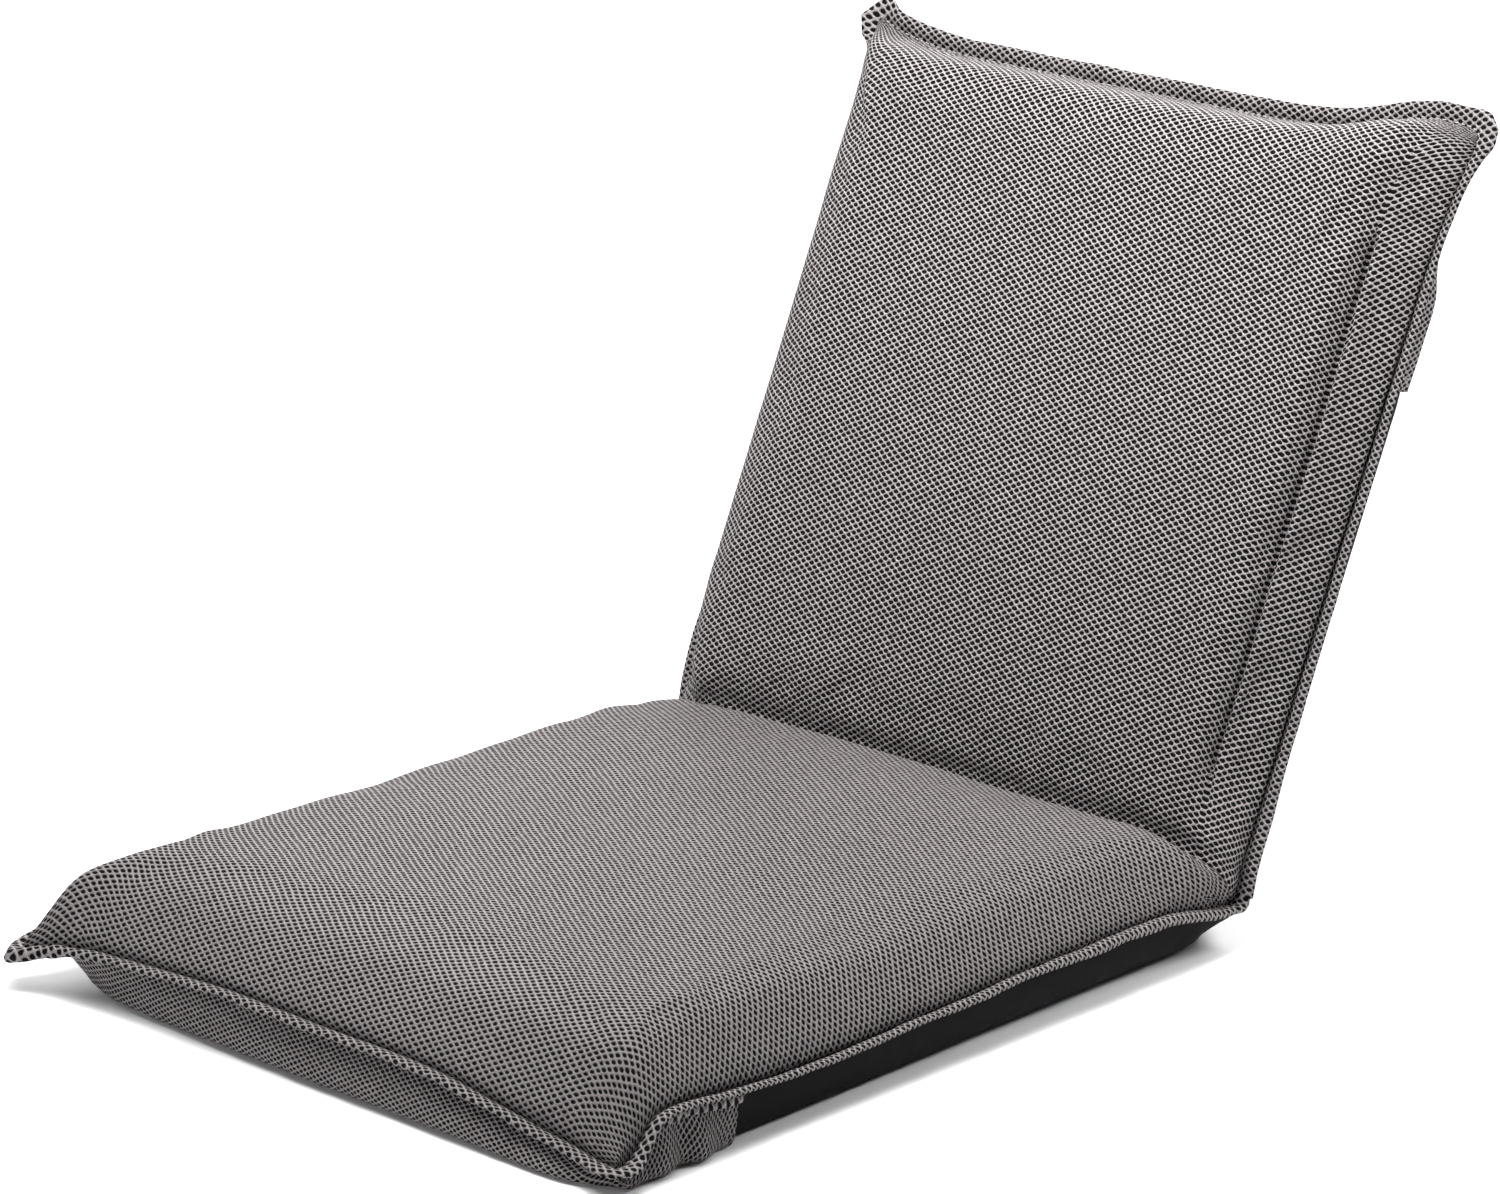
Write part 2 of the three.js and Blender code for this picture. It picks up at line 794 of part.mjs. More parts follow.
// A headed rivet across the chair, from x0 to x1.
function rivet(place, x, s, h, shank, span, headR, headH) {
  const half = span / 2;
  const profile = [
    [0, -half - headH],
    [headR * 0.7, -half - headH],
    [headR, -half],
    [shank, -half],
    [shank, half],
    [headR, half],
    [headR * 0.7, half + headH],
    [0, half + headH],
  ].map(([r, y]) => new THREE.Vector2(r, y));
  const c = place(x, s, h);
  return new THREE.LatheGeometry(profile, 8)
    .rotateZ(Math.PI / 2)
    .translate(c.x, c.y, c.z);
}
const plateAt = RATCHET_PLATE / 2 + PLATE_GAP;
for (const [side, k] of [
  ["left", -1],
  ["right", 1],
]) {
  const x = (d) => k * (TUBE_X + d);
  const caseHoles = (place, extra = []) => [
    across(place, x(0), 0, 0, PIVOT_R + RIVET_CLEARANCE, 40, 12),
    across(place, x(0), ...pawlPivot, RIVET_R + RIVET_CLEARANCE, 40),
    across(place, x(0), ...stopRivet, RIVET_R + RIVET_CLEARANCE, 40),
    ...RIVETS_AT.map((s) =>
      across(place, x(0), s, 0, RIVET_R + RIVET_CLEARANCE, 40),
    ),
    ...extra,
  ];
  piece(
    seat,
    "hinge_case_outer_" + side,
    cut(
      plate(seatPoint, caseOutline(), x(plateAt), x(plateAt + PLATE)),
      ...caseHoles(seatPoint),
    ),
    zincSteel,
  );
  piece(
    seat,
    "hinge_case_inner_" + side,
    cut(
      plate(seatPoint, caseOutline(), x(-plateAt - PLATE), x(-plateAt)),
      ...caseHoles(seatPoint),
    ),
    zincSteel,
  );
  piece(
    back,
    "ratchet_plate_" + side,
    cut(
      plate(
        backPoint,
        ratchetOutline(),
        x(-RATCHET_PLATE / 2),
        x(RATCHET_PLATE / 2),
      ),
      across(backPoint, x(0), 0, 0, PIVOT_R + RIVET_CLEARANCE, 40, 12),
      ...RIVETS_AT.map((s) =>
        across(backPoint, x(0), s, 0, RIVET_R + RIVET_CLEARANCE, 40),
      ),
    ),
    zincSteel,
  );
  piece(
    seat,
    "pawl_" + side,
    cut(
      plate(
        seatPoint,
        pawlOutline(),
        x(-PAWL_THICKNESS / 2),
        x(PAWL_THICKNESS / 2),
      ),
      across(seatPoint, x(0), ...pawlPivot, RIVET_R + RIVET_CLEARANCE, 40),
    ),
    zincSteel,
  );
  const caseSpan = 2 * (plateAt + PLATE) + 0.5;
  piece(
    seat,
    "pivot_rivet_" + side,
    rivet(seatPoint, x(0), 0, 0, PIVOT_R, caseSpan, 7, 1.6),
    zincSteel,
  );
  piece(
    seat,
    "pawl_rivet_" + side,
    rivet(seatPoint, x(0), ...pawlPivot, RIVET_R, caseSpan, 3.4, 1.2),
    zincSteel,
  );
  piece(
    seat,
    "stop_rivet_" + side,
    rivet(seatPoint, x(0), ...stopRivet, RIVET_R, caseSpan, 3.4, 1.2),
    zincSteel,
  );
  // A leaf that presses on the pawl, held behind the stop rivet.
  const leaf = [
    [5.5, 22.5],
    [14.9, 22.5],
    [14.9, 27],
    [14.4, 27],
    [14.4, 23],
    [5.5, 23],
  ].map(fromPawlLine);
  piece(
    seat,
    "pawl_spring_" + side,
    plate(seatPoint, leaf, x(-1), x(1)),
    springSteel,
  );
  const tubeSpan = 2 * TUBE_R + 0.5;
  for (const [place, group, name] of [
    [seatPoint, seat, "seat"],
    [backPoint, back, "back"],
  ])
    RIVETS_AT.forEach((s, i) =>
      piece(
        group,
        name + "_tube_rivet_" + side + (i ? "_far" : "_near"),
        rivet(place, x(0), s, 0, RIVET_R, tubeSpan, 3.6, 1.2),
        zincSteel,
      ),
    );
}

export default chair;
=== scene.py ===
"""Folding floor chair: the looks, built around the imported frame. Metres, +Z up, +Y towards the back."""
import json
import math

import bpy
import numpy as np
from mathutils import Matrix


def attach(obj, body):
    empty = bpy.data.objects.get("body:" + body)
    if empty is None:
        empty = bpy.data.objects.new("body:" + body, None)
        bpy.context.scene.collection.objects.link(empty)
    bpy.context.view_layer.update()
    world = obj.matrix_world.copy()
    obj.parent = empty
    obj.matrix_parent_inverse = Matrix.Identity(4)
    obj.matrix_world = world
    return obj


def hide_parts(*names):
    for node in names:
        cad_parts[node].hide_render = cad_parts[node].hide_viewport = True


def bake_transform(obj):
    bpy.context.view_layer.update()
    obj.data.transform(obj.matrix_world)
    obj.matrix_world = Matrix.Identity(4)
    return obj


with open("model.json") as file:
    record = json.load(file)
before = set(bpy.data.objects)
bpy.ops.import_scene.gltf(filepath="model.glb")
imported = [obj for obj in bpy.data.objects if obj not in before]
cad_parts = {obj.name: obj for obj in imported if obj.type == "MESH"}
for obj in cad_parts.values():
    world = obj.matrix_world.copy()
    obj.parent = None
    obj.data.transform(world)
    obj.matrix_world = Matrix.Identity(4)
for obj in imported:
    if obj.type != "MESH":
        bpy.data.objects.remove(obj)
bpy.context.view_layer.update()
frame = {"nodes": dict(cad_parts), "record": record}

# ---- shared dimensions, in millimetres (the same as the frame's) ----
INNER = 209.0
OUTER = 220.0
SEAT_L, BACK_L = 485.0, 435.0
SEAT_IN, BACK_IN = SEAT_L - 11.0, BACK_L - 11.0
HY, FZ = 147.6, 27.5
ANGLE = math.radians(115.45)
HALF = ANGLE / 2
TILT = math.pi - ANGLE
CA, SA = math.cos(TILT), math.sin(TILT)
CREASE_R = 37.0
CLOTH = 1.7
FLOOR_GAP = 0.35
PITCH_ACROSS, PITCH_ALONG = 6.25, 3.85  # the mesh's hole spacing
HOLE_U, HOLE_V = 1.52, 0.98  # half the width and height of a hole
UP = np.array([0.0, 0.0, 1.0])
BACK_OUT = np.array([0.0, -SA, CA])  # out of the back's front
CREASE_OUT = np.array([0.0, -math.cos(HALF), math.sin(HALF)])


def seat_at(x, s, h):
    x, s, h = np.broadcast_arrays(x, s, h)
    return np.stack([x, HY - s, FZ + h], -1) / 1000


def back_at(x, s, h):
    x, s, h = np.broadcast_arrays(x, s, h)
    return np.stack([x, HY + s * CA - h * SA, FZ + s * SA + h * CA], -1) / 1000


def smooth(t):
    t = np.clip(t, 0, 1)
    return t * t * (3 - 2 * t)


def lerp(a, b, t):
    return a + (b - a) * t


def wave(p, seed, scale, octaves=2):
    """Smooth seeded noise from -1 to 1 over points p in millimetres."""
    rng = np.random.default_rng(seed)
    p = np.asarray(p, float)
    total = np.zeros(p.shape[:-1])
    weight = 0
    for o in range(octaves):
        k = 2.0**o / scale
        for _ in range(5):
            d = rng.normal(size=p.shape[-1])
            d *= 2 * math.pi * k * rng.uniform(0.6, 1.3) / np.linalg.norm(d)
            total = total + np.sin(p @ d + rng.uniform(0, 6.28)) * 0.5**o
        weight += 2.2 * 0.5**o
    return total / weight


# ---- outlines ----
def table(points):
    a = np.array(points, float)
    order = np.argsort(a[:, 0])
    return lambda v: np.interp(v, a[order, 0], a[order, 1])


# how high the middle of the flange stands over the hinge plane, along the seat's sides
SIDE_RIGHT = table(
    [(-20, -3.9), (4, -3.9), (15, -2.6), (30, 1.7), (45, 4.8), (60, 6.4), (90, 6.8),
     (134, 6.3), (180, 5.4), (225, 3.9), (270, 2.8), (313, 1.6), (356, 1.6),
     (389, 3.2), (415, 5.6), (432, 7.2), (445, 7.0), (474, -5.0), (485, -12.5), (496, -16)]
)
SIDE_LEFT = table(
    [(-20, -3.9), (4, -3.9), (15, -3.5), (30, -0.4), (45, 2.2), (60, 3.6), (90, 4.4),
     (150, 4.4), (250, 3.2), (330, 2.6), (400, 3.0), (440, 3.6), (460, 4.2), (474, 3.4), (485, 0.4), (500, -6)]
)
# the same along the seat's front edge
FRONT = table(
    [(-240, -12.0), (-229, -9.8), (-220, -7.6), (-209, -5.2), (-191, -2.0), (-159, 0.4), (-112, 2.8), (-70, 4.4),
     (-33, 3.9), (7, 2.9), (48, 3.1), (81, 2.2), (105, -0.6), (124, -3.9), (168, -10.2),
     (198, -14.4), (215, -15.6), (236, -16.6)]
)


def soften(f, low, high, width):
    """The table f with its corners rounded over width."""
    xs = np.linspace(low, high, 600)
    k = np.exp(-0.5 * (np.linspace(-3, 3, 61)) ** 2)
    k /= k.sum()
    offsets = np.linspace(-3, 3, 61) * width / 2
    ys = sum(w * f(xs + o) for w, o in zip(k, offsets))
    return lambda v: np.interp(v, xs, ys)


SIDE_RIGHT = soften(SIDE_RIGHT, -20, 500, 12)
SIDE_LEFT = soften(SIDE_LEFT, -20, 500, 14)
FRONT = soften(FRONT, -240, 240, 16)


def seat_base(x, s):
    side = np.where(x > 0, SIDE_RIGHT(s), SIDE_LEFT(s))
    near = smooth((-x - 180) / 28)
    return lerp(side, FRONT(x), smooth((s - 448 - 13 * near) / (26 + 6 * near)))


BACK_SEAM = table([(0, -4.3), (2.5, -3.9), (8.5, -2.7), (16, -1.0), (27, 0), (460, 0)])


def back_base(x, s):
    return BACK_SEAM(s) + 0.0 * x


# how far each corner of a cushion's seam runs out beyond its rectangle: along the side, along the end
def flare(side, end):
    return table(side), table(end)


SEAT_FLARE = {
    -1: flare([(0, 11.5), (8, 8.4), (18, 5.2), (32, 2.4), (50, 0.7), (75, 0)], [(0, 15), (8, 11.4), (20, 6.6), (36, 2.8), (54, 0.9), (80, 0)]),
    1: flare([(0, 1.5), (12, 1), (30, 0.4), (60, 0)], [(0, 1.0), (12, 0.6), (30, 0)]),
}
BACK_FLARE = {
    -1: flare([(0, 11.5), (7, 8), (16, 3.6), (30, 1.0), (46, 0)], [(0, 11.5), (7, 9.6), (16, 6.6), (27, 3.8), (42, 1.6), (62, 0)]),
    1: flare([(0, 11.6), (10, 9.4), (22, 6.6), (32, 4.8), (48, 2.6), (70, 1.4), (110, 0.9), (200, 0.6)],
             [(0, 13.8), (9, 16.6), (25, 17.2), (41, 13.8), (56, 8.8), (70, 5.2), (86, 2.8), (103, 1.3), (125, 0)]),
}


def reach(t):
    return 1 - smooth(np.asarray(t, float) / 62.0)


def flared(x, s, length_in, flares):
    """Points of a plain rectangle moved out with its corners."""
    d, e = np.maximum(INNER - np.abs(x), 0), np.maximum(length_in - s, 0)
    right = x > 0
    fx = np.where(right, flares[1][0](e), flares[-1][0](e))
    fs = np.where(right, flares[1][1](d), flares[-1][1](d))
    return x + np.sign(x) * fx * reach(d), s + fs * reach(e)


# ---- profiles: distance in from the seam, share of the full height ----
def profile(points):
    return np.array(points, float)


SEAT_SIDE = profile(
    [(0, 0), (-1.9, 0.06), (-2.3, 0.14), (-1.3, 0.25), (0.9, 0.375), (3.7, 0.50), (7.0, 0.635),
     (10.6, 0.765), (14.2, 0.862), (17.8, 0.927), (21.8, 0.966), (27, 0.988), (34, 0.997), (46, 1)]
)
CREASE_SIDE = profile(
    [(0, 0), (-1.8, 0.10), (-3.8, 0.22), (-5.2, 0.36), (-4.6, 0.50), (-2.4, 0.62), (1.4, 0.72),
     (6, 0.795), (12, 0.86), (19, 0.91), (27, 0.95), (36, 0.98), (46, 1)]
)
CREASE_LEFT = profile(
    [(0, 0), (0.6, 0.07), (2.0, 0.18), (4.4, 0.32), (7.4, 0.46), (10.6, 0.59), (14.2, 0.70),
     (18.2, 0.785), (22.4, 0.85), (27.4, 0.90), (33, 0.945), (39, 0.98), (46, 1)]
)
BACK_LEFT = profile(
    [(0, 0), (-1.2, 0.06), (-1.0, 0.14), (0.6, 0.25), (3.0, 0.37), (5.8, 0.495), (9.0, 0.62),
     (12.4, 0.74), (16.2, 0.835), (20.6, 0.907), (25.8, 0.957), (32.5, 0.988), (46, 1)]
)
BACK_RIGHT = profile(
    [(0, 0), (-1.8, 0.06), (-1.7, 0.14), (0.6, 0.25), (3.6, 0.36), (6.8, 0.47), (9.8, 0.575),
     (11.6, 0.655), (13.0, 0.70), (14.4, 0.69), (15.8, 0.635), (17.0, 0.58), (17.9, 0.60), (18.5, 0.71), (19.1, 0.84), (20.4, 0.925),
     (22.8, 0.972), (26.5, 0.995), (34, 1.0), (46, 1)]
)
BACK_RIGHT_TOP = profile(
    [(0, 0), (-1.8, 0.06), (-1.7, 0.14), (0.6, 0.25), (3.6, 0.36), (6.8, 0.47), (9.8, 0.575),
     (11.6, 0.645), (13.0, 0.695), (14.4, 0.735), (15.8, 0.765), (17.0, 0.79), (17.9, 0.81), (18.5, 0.825), (19.1, 0.845), (20.4, 0.885),
     (22.8, 0.94), (26.5, 0.978), (34, 0.997), (46, 1)]
)
SEAT_END = profile(
    [(0, 0), (-1.8, 0.05), (-1.9, 0.13), (0.2, 0.24), (3.8, 0.365), (8.6, 0.49), (14.2, 0.61),
     (20.8, 0.72), (28.6, 0.82), (37.5, 0.90), (47.5, 0.955), (59, 0.988), (72, 1)]
)
BACK_END = profile(
    [(0, 0), (-0.6, 0.07), (0.4, 0.17), (1.6, 0.29), (2.9, 0.43), (4.4, 0.57), (6.4, 0.70),
     (9.4, 0.815), (13.6, 0.90), (19, 0.953), (26, 0.982), (35, 0.996), (47, 1)]
)


def resample(p, n, soft=31):
    """n points along profile p, evenly spread over its length, with the first and last kept."""
    scaled = p * np.array([1.0, 40.0])
    step = np.r_[0, np.cumsum(np.linalg.norm(np.diff(scaled, axis=0), axis=1))]
    t = np.linspace(0, step[-1], n)
    # a smooth curve through the points
    fine = np.linspace(0, step[-1], 400)
    out = []
    for k in range(2):
        y = np.interp(fine, step, p[:, k])
        w = np.hanning(soft)
        w /= w.sum()
        half = soft // 2
        pad = np.r_[2 * y[0] - y[half:0:-1], y, 2 * y[-1] - y[-2 : -2 - half : -1]]
        out.append(np.interp(t, fine, np.convolve(pad, w, "valid")))
    q = np.stack(out, -1)
    q[0], q[-1] = p[0], p[-1]
    return q


SIDE_N = 32
END_N = 18


# ---- mesh helpers ----
def volume(verts, faces):
    """Signed volume of a closed mesh of quads or larger flat faces."""
    mid = verts.mean(0)
    total = 0.0
    sizes = {}
    for f in faces:
        sizes.setdefault(len(f), []).append(f)
    for n, group in sizes.items():
        g = verts[np.array(group)] - mid
        for i in range(1, n - 1):
            total += float((g[:, 0] * np.cross(g[:, i], g[:, i + 1])).sum()) / 6
    return total


def new_object(name, verts, faces, uvs=None, weave=True):
    verts = np.asarray(verts, float)
    if name != "cloth_form" and volume(verts, faces) < 0:
        faces = [list(f)[::-1] for f in faces]
    me = bpy.data.meshes.new(name)
    me.from_pydata([tuple(v) for v in verts], [], faces)
    ob = bpy.data.objects.new(name, me)
    bpy.context.scene.collection.objects.link(ob)
    if uvs is not None:
        layer = me.uv_layers.new(name="weave")
        loops = np.empty(len(me.loops), np.int32)
        me.loops.foreach_get("vertex_index", loops)
        layer.data.foreach_set("uv", np.asarray(uvs, np.float32)[loops].ravel())
    for p in me.polygons:
        p.use_smooth = True
    me.update()
    return ob


def normals_of(P):
    """Smooth normals of a grid of points."""
    du = np.gradient(P, axis=1)
    dv = np.gradient(P, axis=0)
    n = np.cross(du, dv)
    n /= np.maximum(np.linalg.norm(n, axis=-1, keepdims=True), 1e-12)
    return n


def arc_uv(P, middle=None):
    """Lengths across (from the middle column) and along (from the first row) the cloth, in metres."""
    across = np.r_["1", np.zeros((P.shape[0], 1)), np.cumsum(np.linalg.norm(np.diff(P, axis=1), axis=-1), axis=1)]
    m = P.shape[1] // 2 if middle is None else middle
    across = across - across[:, m : m + 1]
    along = np.r_["0", np.zeros((1, P.shape[1])), np.cumsum(np.linalg.norm(np.diff(P, axis=0), axis=-1), axis=0)]
    return np.stack([across, along], -1)


def refine(A, times=1):
    """Twice the rows and columns, on smooth curves through the points."""
    for _ in range(times):
        for axis in (0, 1):
            B = np.moveaxis(A, axis, 0)
            ext = np.concatenate([2 * B[:1] - B[1:2], B, 2 * B[-1:] - B[-2:-1]])
            mid = (-ext[:-3] + 9 * ext[1:-2] + 9 * ext[2:-1] - ext[3:]) / 16
            out = np.empty((2 * len(B) - 1,) + B.shape[1:])
            out[0::2] = B
            out[1::2] = mid
            A = np.moveaxis(out, 0, axis)
    return A


def faces_back(P, facing, rows=None):
    """Whether the grid's own normals point away from the given direction."""
    return float((normals_of(P)[:rows] @ np.array(facing, float)).mean()) < 0


def cloth_solid(name, P, UV, facing, thickness=CLOTH, rows_used=None):
    """A closed cloth of that thickness whose outer face is the grid P, looking towards facing."""
    rows, cols = P.shape[:2]
    N = normals_of(P)
    flip = faces_back(P, facing, rows_used)
    if flip:
        N = -N
    inner = P - N * thickness / 1000
    verts = np.concatenate([P.reshape(-1, 3), inner.reshape(-1, 3)])
    uv = np.concatenate([UV.reshape(-1, 2)] * 2)
    idx = np.arange(rows * cols).reshape(rows, cols)
    off = rows * cols
    a, b = idx[:-1, :-1].ravel(), idx[:-1, 1:].ravel()
    c, d = idx[1:, 1:].ravel(), idx[1:, :-1].ravel()
    front = np.stack([a, b, c, d], -1)
    rear = np.stack([a, d, c, b], -1) + off
    if flip:
        front, rear = front[:, ::-1], rear[:, ::-1]
    loop = np.r_[idx[0, :-1], idx[:-1, -1], idx[-1, :0:-1], idx[:0:-1, 0]]
    nxt = np.roll(loop, -1)
    rim = np.stack([nxt, loop, loop + off, nxt + off], -1)
    if flip:
        rim = rim[:, ::-1]
    faces = np.concatenate([front, rear, rim])
    ob = new_object(name, verts, faces.tolist(), uv)
    # where each face lies on a picture of the whole cloth: the outer face large, the inner small
    me = ob.data
    layer = me.uv_layers.new(name="OFBake")
    u = (UV[..., 0] - UV[..., 0].min()) / np.ptp(UV[..., 0])
    v = np.linspace(0, 1, rows)[:, None] + 0 * u
    step = np.linalg.norm(np.diff(P, axis=0), axis=-1).mean(1)
    v = (np.r_[0, np.cumsum(step)] / step.sum())[:, None] + 0 * u
    w = np.linalg.norm(np.diff(P, axis=1), axis=-1).mean(0)
    u = (np.r_[0, np.cumsum(w)] / w.sum())[None, :] + 0 * v
    outer = np.stack([0.004 + 0.992 * u, 0.004 + 0.90 * v], -1).reshape(-1, 2)
    hidden = np.stack([0.004 + 0.6 * u, 0.925 + 0.07 * v], -1).reshape(-1, 2)
    place = np.concatenate([outer, hidden])
    loops = np.empty(len(me.loops), np.int32)
    me.loops.foreach_get("vertex_index", loops)
    at = place[loops]
    starts = len(front) * 4 + len(rear) * 4
    k = np.arange(len(rim))
    rim_uv = np.empty((len(rim), 4, 2))
    lo, hi = 0.62 + 0.37 * k / len(rim), 0.62 + 0.37 * (k + 1) / len(rim)
    order = [(hi, 0.93), (lo, 0.93), (lo, 0.96), (hi, 0.96)]
    if flip:
        order = order[::-1]
    for i, (uu, vv) in enumerate(order):
        rim_uv[:, i, 0], rim_uv[:, i, 1] = uu, vv
    at[starts:] = rim_uv.reshape(-1, 2)
    layer.data.foreach_set("uv", at.astype(np.float32).ravel())
    me.uv_layers.active = me.uv_layers["weave"]
    me.uv_layers["weave"].active_render = True
    return ob


def drape(P, facing, pressure, cap, slack=0.012, frames=16):
    """The grid P as cloth held at its edges and pushed out from inside, each point moved by at most cap millimetres, and by less near the edges."""
    rows, cols = P.shape[:2]
    idx = np.arange(rows * cols).reshape(rows, cols)
    a, b = idx[:-1, :-1].ravel(), idx[:-1, 1:].ravel()
    c, d = idx[1:, 1:].ravel(), idx[1:, :-1].ravel()
    faces = np.stack([a, b, c, d], -1)
    if faces_back(P, facing):
        faces = faces[:, ::-1]
    ob = new_object("cloth_form", P.reshape(-1, 3), faces.tolist())
    pins = ob.vertex_groups.new(name="held")
    edge = np.minimum.outer(
        np.minimum(np.arange(rows), np.arange(rows)[::-1]),
        np.full(cols, 10**6),
    )
    edge = np.minimum(edge, np.minimum(np.arange(cols), np.arange(cols)[::-1])[None, :])
    for depth, weight in ((0, 1.0), (1, 0.85), (2, 0.4)):
        pins.add(idx[edge == depth].ravel().tolist(), weight, "REPLACE")
    mod = ob.modifiers.new("cloth", "CLOTH")
    st = mod.settings
    st.quality = 6
    st.mass = 0.25
    st.tension_stiffness = 18
    st.compression_stiffness = 18
    st.shear_stiffness = 8
    st.bending_stiffness = 1.2
    st.air_damping = 2
    st.use_pressure = True
    st.uniform_pressure_force = pressure
    st.vertex_group_mass = "held"
    st.shrink_min = -slack
    st.effector_weights.gravity = 0
    mod.collision_settings.use_collision = False
    mod.collision_settings.use_self_collision = False
    scene = bpy.context.scene
    mod.point_cache.frame_start, mod.point_cache.frame_end = 1, frames
    scene.frame_start, scene.frame_end = 1, frames
    for f in range(1, frames + 1):
        scene.frame_set(f)
    dg = bpy.context.evaluated_depsgraph_get()
    got = ob.evaluated_get(dg).data
    co = np.empty(len(got.vertices) * 3, np.float32)
    got.vertices.foreach_get("co", co)
    Q = co.reshape(rows, cols, 3).astype(float)
    scene.frame_set(1)
    me = ob.data
    bpy.data.objects.remove(ob)
    bpy.data.meshes.remove(me)
    move = Q - P
    size = np.linalg.norm(move, axis=-1, keepdims=True)
    print("drape moved", round(float(size.max()) * 1000, 2), "mm at most,", round(float(size.mean()) * 1000, 2), "on average")
    limit = cap / 1000 * lerp(0.25, 1, smooth(edge / 20.0))[..., None]
    return P + move * np.where(size > 1e-9, limit * np.tanh(size / limit) / np.maximum(size, 1e-9), 0)


# ---- the padded top of seat and back ----
INSIDE = 48


def across(left, right):
    """Columns from left seam to right seam: distance in from the nearer seam, and share of height."""
    mid = np.linspace(-(INNER - left[-1, 0]), INNER - right[-1, 0], INSIDE)[1:-1]
    x = np.r_[-(INNER - left[:, 0]), mid, (INNER - right[:, 0])[::-1]]
    share = np.r_[left[:, 1], np.ones(len(mid)), right[::-1, 1]]
    return x, share


def both(a, b):
    """The share of the full height where two sloping sides meet."""
    a, b = np.clip(a, 1e-4, 1), np.clip(b, 1e-4, 1)
    return (a**-2.2 + b**-2.2 - 1) ** (-1 / 2.2)


# how far the left side draws in next to the crease
SEAT_TUCK = table([(0, 8.0), (19, 8.0), (30, 6.6), (48, 4.8), (70, 1.8), (95, 0)]), 3
BACK_TUCK = table([(0, 13.8), (19, 13.8), (30, 11.2), (40, 8.4), (48, 6.4), (60, 3.8), (75, 1.4), (95, 0)]), 6


def top_half(place, base, length_in, rise, crown, mid_at, left, right, end, lumps, flares, soft, tucked, right_end, even_from):
    L, R = resample(left, SIDE_N), resample(right, SIDE_N, soft)
    C = resample(CREASE_SIDE, SIDE_N)
    E = resample(end, END_N)
    x_c, share_c = across(resample(CREASE_LEFT, SIDE_N), C)
    x_f, share_f = across(L, R)
    x_t, share_t = across(L, resample(right_end, SIDE_N, soft))
    start = [0, 1.4, 3.6, 6.6, 10.4, 15, 21, 28]
    centre0 = CREASE_R * math.cos(HALF)
    last = length_in - E[-1, 0] - centre0
    n = int(round((last - start[-1]) / 7.0))
    run = np.r_[start, np.linspace(start[-1], last, n + 1)[1:]]
    rows = len(run) + END_N - 1
    cols = len(x_c)
    X = np.empty((rows, cols))
    S = np.empty((rows, cols))
    H = np.empty((rows, cols))
    r0 = lerp(-4.0, CREASE_R, share_c)
    s0, h0 = r0 * math.cos(HALF), r0 * math.sin(HALF)
    for i in range(rows):
        if i < len(run):
            t = run[i]
            stretch = (length_in - E[-1, 0] - s0) / (length_in - E[-1, 0] - centre0)
            s = s0 + t * stretch
            e_share, e_d = 1.0, 0.0
        else:
            e_d, e_share = E[END_N - 2 - (i - len(run))]
            t = 1e3
            s = np.full(cols, length_in - e_d)
        k = smooth(t / 60.0)
        plain = smooth((s - even_from) / 42.0)
        x = lerp(x_c, lerp(x_f, x_t, plain), k)
        side = lerp(share_c, lerp(share_f, share_t, plain), k)
        # a seam's overhang fades into the corner
        out = np.maximum(np.abs(x) - INNER, 0)
        x = np.sign(x) * (np.minimum(np.abs(x), INNER) + out * min(1.0, 0.15 + e_share))
        if e_d < 0:
            s = s + e_d * (1 - np.clip(side, 0, 1))
        x, s = flared(x, s, length_in, flares)
        mid = np.clip(1 - ((s - mid_at) / (length_in * 0.62)) ** 2, 0, 1)
        tuck, sharp = tucked
        x = x + tuck(s) * smooth(np.clip(side, 0, 1) * 4) * smooth((1 - side) * sharp) * (x < 0)
        full = rise(x, s) + crown * (1 - np.clip(np.abs(x) / INNER, 0, 1) ** 2) * mid
        lip = math.sqrt(max(0.0, 1 - (1 - min(t, 30) / 30) ** 2))
        top = lerp(CREASE_R * math.sin(HALF), full, lip)
        pinch = np.zeros(cols)
        for k_side, amount, wide in ((-1, 0.36, 21.0), (1, 0.46, 24.0)):
            corner = flared(np.array([k_side * INNER]), np.array([float(length_in)]), length_in, flares)
            away = np.hypot(x - corner[0], s - corner[1])
            pinch = pinch + amount * np.exp(-((away / wide) ** 2))
        h = lerp(base(x, s) - 2.4, top, both(side, e_share) * (1 - pinch))
        # at the crease the border lies on the plane between seat and back
        h = lerp(h0, h, smooth(t / 14.0))
        X[i], S[i], H[i] = x, s, h
    H = H + smooth((H - 14) / 22.0) * lumps(X, S) + pleats(X, S) * smooth(np.arange(rows)[:, None] / 4.0)
    return place(X, S, H)


def pleats(X, S):
    """Small folds that gather at the hinge's two corners."""
    d = np.hypot(INNER - np.abs(X), S + 1.0)
    turn = np.arctan2(S + 1.0, INNER - np.abs(X))
    return 0.75 * np.sin(turn * 15.0 + 0.8 * np.sin(d / 6.0) + X * 0.004) * np.exp(-(((d - 17.0) / 10.0) ** 2))


def seat_rise(x, s):
    ripple = np.interp(s, [0, 68, 131, 192, 261, 296, 342, 394, 474], [0, 1.2, 0.6, -0.6, -1.8, -0.2, 0.6, 2.4, 1.0])
    rear = smooth((-x - 110) / 80) * (1 - smooth((s - 45) / 90))
    corner = np.exp(-(((x + 211) / 27.0) ** 2) - ((s - 464) / 27.0) ** 2)
    ear = np.exp(-(((x + 216) / 17.0) ** 2) - ((s - 471) / 17.0) ** 2)
    return 40.5 + ripple * np.clip(np.abs(x) / 190, 0, 1) ** 2 - 5.0 * rear + 11.0 * corner + 7.0 * ear


